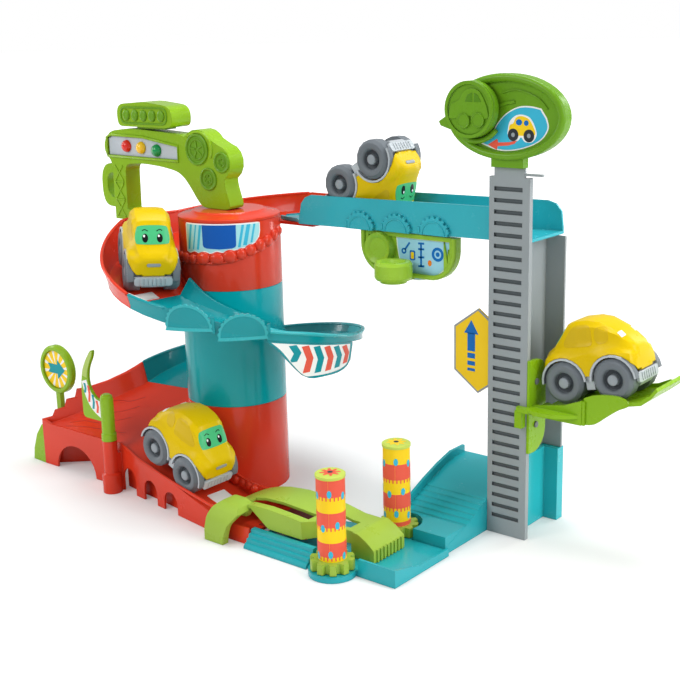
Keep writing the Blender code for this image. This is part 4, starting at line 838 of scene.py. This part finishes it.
def dress_arch():
    """Wheels, lamp bezel, ridge, braces and the visor's frame and beads on the arch."""
    face = front(0, -14, 0)
    for number, (x, z, r) in enumerate(((-31, 384, 17.5), (6.5, 371.5, 11.5), (-15, 352, 12.5))):
        wheel = [(r, 0), (r, 1.6), (r - 1.2, 2.2), (r - 2.4, 1.6), (r - 2.8, 0.5), (r - 5.5, 0.5),
                 (r - 5.9, 1.3), (r - 7.2, 1.3), (r - 7.6, 0.4), (0, 0.4)]
        turned(f"arch_wheel_{number}", wheel, 40, front(x, -13.8, z), LIME_SIGN, "lime_plastic")
        for k in range(5):
            a = tau * k / 5 + 0.5
            bar = ribbon([(x + 2.5 * cos(a), z + 2.5 * sin(a)),
                          (x + (r - 7.4) * cos(a), z + (r - 7.4) * sin(a))], 1.0)
            sticker(f"arch_spoke_{number}_{k}", bar, face, LIME_SIGN, 1.0, slot="lime_plastic")
    bezel = [(-182.5, 370.5), (-182.5, 392.5), (-174, 395.5), (-120, 394.5), (-61.5, 386.5), (-61.5, 369.5)]
    bead_on_face("lamp_bezel", bezel, face, 0.2, 1.7, LIME)
    dark = [(-78, 371.4), (-62.6, 370.6), (-62.6, 385.4), (-78, 387.6)]
    sticker("lamp_panel_end", dark, front(0, -10, 0), PANEL_DARK, 1.4, slot="panel_grey")
    hump = smooth_line([(-45, 398), (-30, 403.5), (-14, 398), (-8, 386), (-10, 376)])
    bead_on_face("arch_ridge", hump, face, 0.2, 1.5, LIME, False)
    for number, z in enumerate((300, 321, 342)):
        for k in (-1, 1):
            brace = ribbon([(-172, z if k > 0 else z + 18), (-158, z + 18 if k > 0 else z)], 0.9)
            sticker(f"post_brace_{number}_{k}", brace, face, LIME, 0.8 + 0.05 * k, slot="lime_plastic")
        post = ribbon([(-173, z - 1.4), (-157, z - 1.4)], 0.9)
        sticker(f"post_bar_{number}", post, face, LIME, 0.9, slot="lime_plastic")
    visor = front(0, -20, 0)
    frame_line = [rounded(-148.5, 409.5, -70, 429.5, 8), rounded(-146.5, 411.5, -72, 427.5, 6.5)]
    sticker("visor_frame", frame_line, visor, LIME_SIGN, 1.0, slot="lime_plastic")
    for number in range(5):
        x = -138 + number * 14.5
        rows = [(5.6, 0), (5.6, 1.2), (4.8, 2.1), (3.2, 2.6), (1.8, 2.3), (0, 2.2)]

        def place(u, v, h, x=x):
            return visor(x + u, 419.5 + v * 1.15, h - 0.1)
        turned(f"visor_bead_{number}", rows, 24, place, LIME_SIGN, "lime_plastic", sharp=50)


# Angle and height of the upper two turns' floor and wall tops, and the middles of the two half wheels
FLOORS = ((60, 299), (90, 299), (130, 289), (180, 268), (230, 248), (278, 226), (345, 196), (400, 170),
          (450, 148), (500, 124), (547, 99))
RIMS = ((60, 320), (90, 320), (130, 309), (160, 300), (195, 300), (230, 271), (263, 245), (284, 237),
        (326, 211), (345, 203), (372, 187), (400, 178), (450, 158), (500, 137), (547, 123))
HALF_WHEELS = (295.0, 318.0)
TRACK_R = 138.5
BALCONY_ANGLE, BALCONY_HALF, BALCONY_BULGE = 388, 62, 8.0


def wall_point(angle, height, out=0.0):
    """Point on the outer face of the two upper turns' leaning wall."""
    away = abs(angle - BALCONY_ANGLE)
    radius = TRACK_R
    if away < BALCONY_HALF:
        radius += BALCONY_BULGE * cos(radians(away * 90 / BALCONY_HALF))
    floor, rim = between(FLOORS, angle), between(RIMS, angle)
    for middle in HALF_WHEELS:
        along = radians(angle - middle) * TRACK_R
        if abs(along) < 25:
            rim = max(rim, between(FLOORS, middle) - 2 + sqrt(625 - along ** 2))
    share = max(0.0, (height - floor) / max(rim - floor, 1.0))
    radius += 6.0 * min(1.0, (rim - floor) / 20.0) * min(share, 1.15) + out
    return Vector((*spoke(radius, radians(angle)), height))


def dress_track():
    """Cards and grooves on the floors, beads on the walls, half wheels, guard and lumps."""
    def spot(name, node, at, across, outline, look, lift):
        along = Vector((*spoke(1, radians(across)), 0))
        sticker(name, outline, onto(node, at, along, UP.cross(along), 400.0), look, lift, 5.0)
    spot("floor_card_front", "lower_track", (62, -91, 60), -6, rounded(-15, -12, 15, 12, 1), WHITE, 0.3)
    spot("floor_card_upper", "upper_track", (-20, -108, 262), -12, rounded(-12, -11, 10, 11, 1), WHITE, 0.3)
    for number, rows in enumerate((
            [(-196, -92), (-176, -84), (-150, -80), (-118, -62)],
            [(-196, -98), (-170, -92), (-140, -88), (-104, -84)],
            [(-190, -78), (-168, -66), (-142, -60), (-120, -46)],
            [(-176, -58), (-156, -48), (-138, -44), (-122, -34)])):
        groove = ribbon(smooth_line(rows, 8), 0.55)
        spot(f"floor_groove_{number}", "lower_track", (0, 0, 80), 0, groove, LINE_RED, 0.12)
    # Rounded beads on the walls' top edges; the balcony's bead is a lighter teal, painted light
    for name, look, slot, start, end in (("red_bead", RED, "red_plastic", 92, 262.5),
                                         ("teal_bead_a", TEAL, "teal_plastic", 264, 284.2),
                                         ("teal_bead_b", TEAL_PAINTED_LIT, "teal_plastic", 328.8, 430),
                                         ("teal_bead_c", TEAL, "teal_plastic", 430, 546)):
        count = int((end - start) / 3)
        line = []
        for i in range(count + 1):
            angle = start + (end - start) * i / count
            line.append(wall_point(angle, between(RIMS, angle) - 0.9, -1.2))
        tube(name, line, 2.1, look, slot)
    slope = -0.1514
    plate = plane((-85, -97.5, 0), (1, slope, 0), (0, 0, 1))
    sticker("arch_back", [(-2, 0), (24, 0), (24, 30), (-2, 32)], plate, RED, 1.0, slot="red_plastic")
    line = []
    for i in range(38):
        x = -84 + 183 * i / 37
        y = -109 + slope * (x + 85)
        angle = 540 + degrees(atan2(-y, -x)) if x < 0 else 630 + degrees(atan2(x, -y))
        rim = between(((592, 57), (606, 47), (630, 39), (660, 30.5), (690, 22)), angle)
        line.append((x, y + 1.1, rim - 0.7))
    tube("front_bead", line, 1.7, RED, "red_plastic")
    dress_half_wheels()
    dress_guard()
    # Rounded lumps on the exit's inner wall
    for number, (x, y, z, size) in enumerate(((38, -56, 30, 6), (49, -54, 29, 6.5), (60, -53, 27.5, 6),
                                              (70, -54, 27, 5.5), (80, -56, 26, 5))):
        dome(f"exit_lump_{number}", front(x, y - 4, z - 3), size, size, 5.0)
    # Painted shade: a dark red sheet inside the deck's long slot
    sticker("slot_painted_shade", square(144, -124, 208, -66), level(0, 0, 19), SLOT_SHADE_RED, 0.6, slot="red_plastic")


def dress_half_wheels():
    """Half wheels with a scalloped edge on the middle turn's wall; the edge is a lighter teal, painted light.
    """
    for number, middle in enumerate(HALF_WHEELS):
        low = between(FLOORS, middle) - 2

        def place(u, v, out, middle=middle, low=low):
            return wall_point(middle + degrees(u / 140.0), low + v, out)
        edge = [spoke(24.6 + 1.5 * abs(sin(pi * i / 96 * 13)), pi * i / 96) for i in range(97)]
        outline = [(26.0, -4.0)] + edge + [(-26.0, -4.0)]
        sticker(f"half_wheel_{number}", outline, place, TEAL_PAINTED_LIT, 2.6, 4.0, slot="teal_plastic", sharp=50)
        inner = oval(22.6, 22.6, 40, end=pi)
        sticker(f"half_wheel_face_{number}", inner, place, TEAL, 2.9, 4.0, slot="teal_plastic", sharp=50)
        post = square(24.6, -6, 28.2, 12)
        sticker(f"half_wheel_post_{number}", post, place, TEAL, 2.2, 4.0, slot="teal_plastic")


def dress_guard():
    """Sloped guard by the column at the start of the middle turn."""
    corners, faces = [], []
    angles = [263.6 + i * 4 for i in range(22)]
    for angle in angles:
        tall = between(((263, 17), (270, 15), (285, 11), (300, 8.5), (320, 7), (350, 6.2)), angle)
        wide = between(((263, 13), (280, 9), (300, 5), (320, 2.5), (350, 1.5)), angle)
        floor = between(FLOORS, angle)
        for radius, z in ((57.8, floor + tall), (60.4, floor + tall), (61.4, floor + tall - 1.2),
                          (61.0 + wide, floor - 0.2)):
            corners.append(Vector((*spoke(radius, radians(angle)), z)) * MM)
    for i in range(len(angles) - 1):
        for k in range(3):
            a, b = i * 4 + k, i * 4 + 4 + k
            faces.append([a, b, b + 1, a + 1][::-1])
    faces.append([0, 3, 2, 1][::-1])
    corners.append(Vector((*spoke(57.8, radians(angles[0])), between(FLOORS, angles[0]) - 0.2)) * MM)
    faces.append([0, 1, 2, 3, len(corners) - 1])
    dress(object_from("middle_guard", corners, faces, TEAL, 50), "garage", "teal_plastic")


dress_column()
for number in CARS:
    dress_car(number)
dress_top_sign()
dress_sign_knob()
dress_arrow_sign()
dress_neck()
dress_round_sign()
dress_gate()
dress_screen()
dress_lift()
dress_ramp()
dress_panel()
dress_rollers()
dress_bridge()
dress_arch()
dress_track()


# Floor, light and camera

def build_stage():
    """White floor that keeps the shadow and glows more with distance, and an even white surround."""
    floor = bpy.data.meshes.new("floor")
    floor.from_pydata([(x, y, 0) for x, y in square(-30, -30, 30, 30)], [], [(0, 1, 2, 3)])
    made = bpy.data.objects.new("floor", floor)
    made.location = (0, 0, -0.0002)
    bpy.context.scene.collection.objects.link(made)
    look = bpy.data.materials.new("floor_paper")
    look.use_nodes = True
    tree = look.node_tree
    shader = tree.nodes["Principled BSDF"]
    tone = mix_colour(tree, noise(tree, 4.0, 3.0), srgb(226, 226, 226), srgb(230, 230, 230))
    tree.links.new(tone, shader.inputs["Base Color"])
    shader.inputs["Roughness"].default_value = 0.9
    shader.inputs["Specular IOR Level"].default_value = 0.1
    path = make(tree, "LightPath")
    glow = make(tree, "Emission")
    add = make(tree, "AddShader")
    lift = make(tree, "Math")
    lift.operation = "MULTIPLY"
    away = make(tree, "VectorMath")
    away.operation = "LENGTH"
    tree.links.new(make(tree, "TexCoord").outputs["Object"], away.inputs[0])
    tree.links.new(scaled(tree, away.outputs["Value"], 0.6, 2.2, 0.16, 1.0), lift.inputs[1])
    tree.links.new(path.outputs["Is Camera Ray"], lift.inputs[0])
    tree.links.new(lift.outputs[0], glow.inputs["Strength"])
    tree.links.new(shader.outputs[0], add.inputs[0])
    tree.links.new(glow.outputs[0], add.inputs[1])
    tree.links.new(add.outputs[0], tree.nodes["Material Output"].inputs["Surface"])
    floor.materials.append(look)

    world = bpy.data.worlds.new("studio")
    bpy.context.scene.world = world
    world.use_nodes = True
    tree = world.node_tree
    back = tree.nodes["Background"]
    back.inputs["Color"].default_value = (1, 1, 1, 1)
    path = make(tree, "LightPath")
    shown = make(tree, "Math")
    shown.operation = "MAXIMUM"
    tree.links.new(path.outputs["Is Camera Ray"], shown.inputs[0])
    tree.links.new(path.outputs["Is Transmission Ray"], shown.inputs[1])
    level = scaled(tree, shown.outputs[0], 0, 1, 0.46, 1.0)
    tree.links.new(level, back.inputs["Strength"])


def lamp(name, at, target, size, energy):
    data = bpy.data.lights.new(name, "AREA")
    data.shape = "RECTANGLE"
    data.size, data.size_y = size
    data.energy = energy
    made = bpy.data.objects.new(name, data)
    bpy.context.scene.collection.objects.link(made)
    made.location = at
    made.rotation_euler = (Vector(target) - Vector(at)).to_track_quat("-Z", "Y").to_euler()


def build_camera():
    """The photograph's camera: its turn, dip, roll, focal length in pixels and place in metres."""
    yaw, dip, roll = radians(-39.54), radians(14.56), radians(-1.44)
    ahead = Vector((sin(yaw) * cos(dip), cos(yaw) * cos(dip), -sin(dip)))
    right = ahead.cross(Vector((0, 0, 1))).normalized()
    up = right.cross(ahead)
    side = right * cos(roll) + up * sin(roll)
    top = -right * sin(roll) + up * cos(roll)
    data = bpy.data.cameras.new("camera")
    data.sensor_width = 36
    data.lens = 1203 / 680 * 36
    data.clip_start, data.clip_end = 0.05, 60
    made = bpy.data.objects.new("camera", data)
    bpy.context.scene.collection.objects.link(made)
    made.matrix_world = Matrix(((side.x, top.x, -ahead.x, 0.9438), (side.y, top.y, -ahead.y, -0.9542),
                                (side.z, top.z, -ahead.z, 0.5112), (0, 0, 0, 1)))
    bpy.context.scene.camera = made


build_stage()
middle = (0.08, -0.02, 0.18)
lamp("key", (-0.55, -1.75, 1.35), middle, (0.9, 0.9), 15)
lamp("fill", (1.85, 0.2, 0.95), middle, (0.8, 1.4), 20)
lamp("top", (0.1, 0.35, 2.0), middle, (1.3, 1.0), 24)
lamp("edge_left", (-1.5, -0.35, 0.55), middle, (0.22, 1.3), 5)
lamp("edge_right", (0.75, 1.45, 0.6), middle, (0.22, 1.3), 6)
build_camera()
bpy.context.scene.view_settings.view_transform = "Standard"
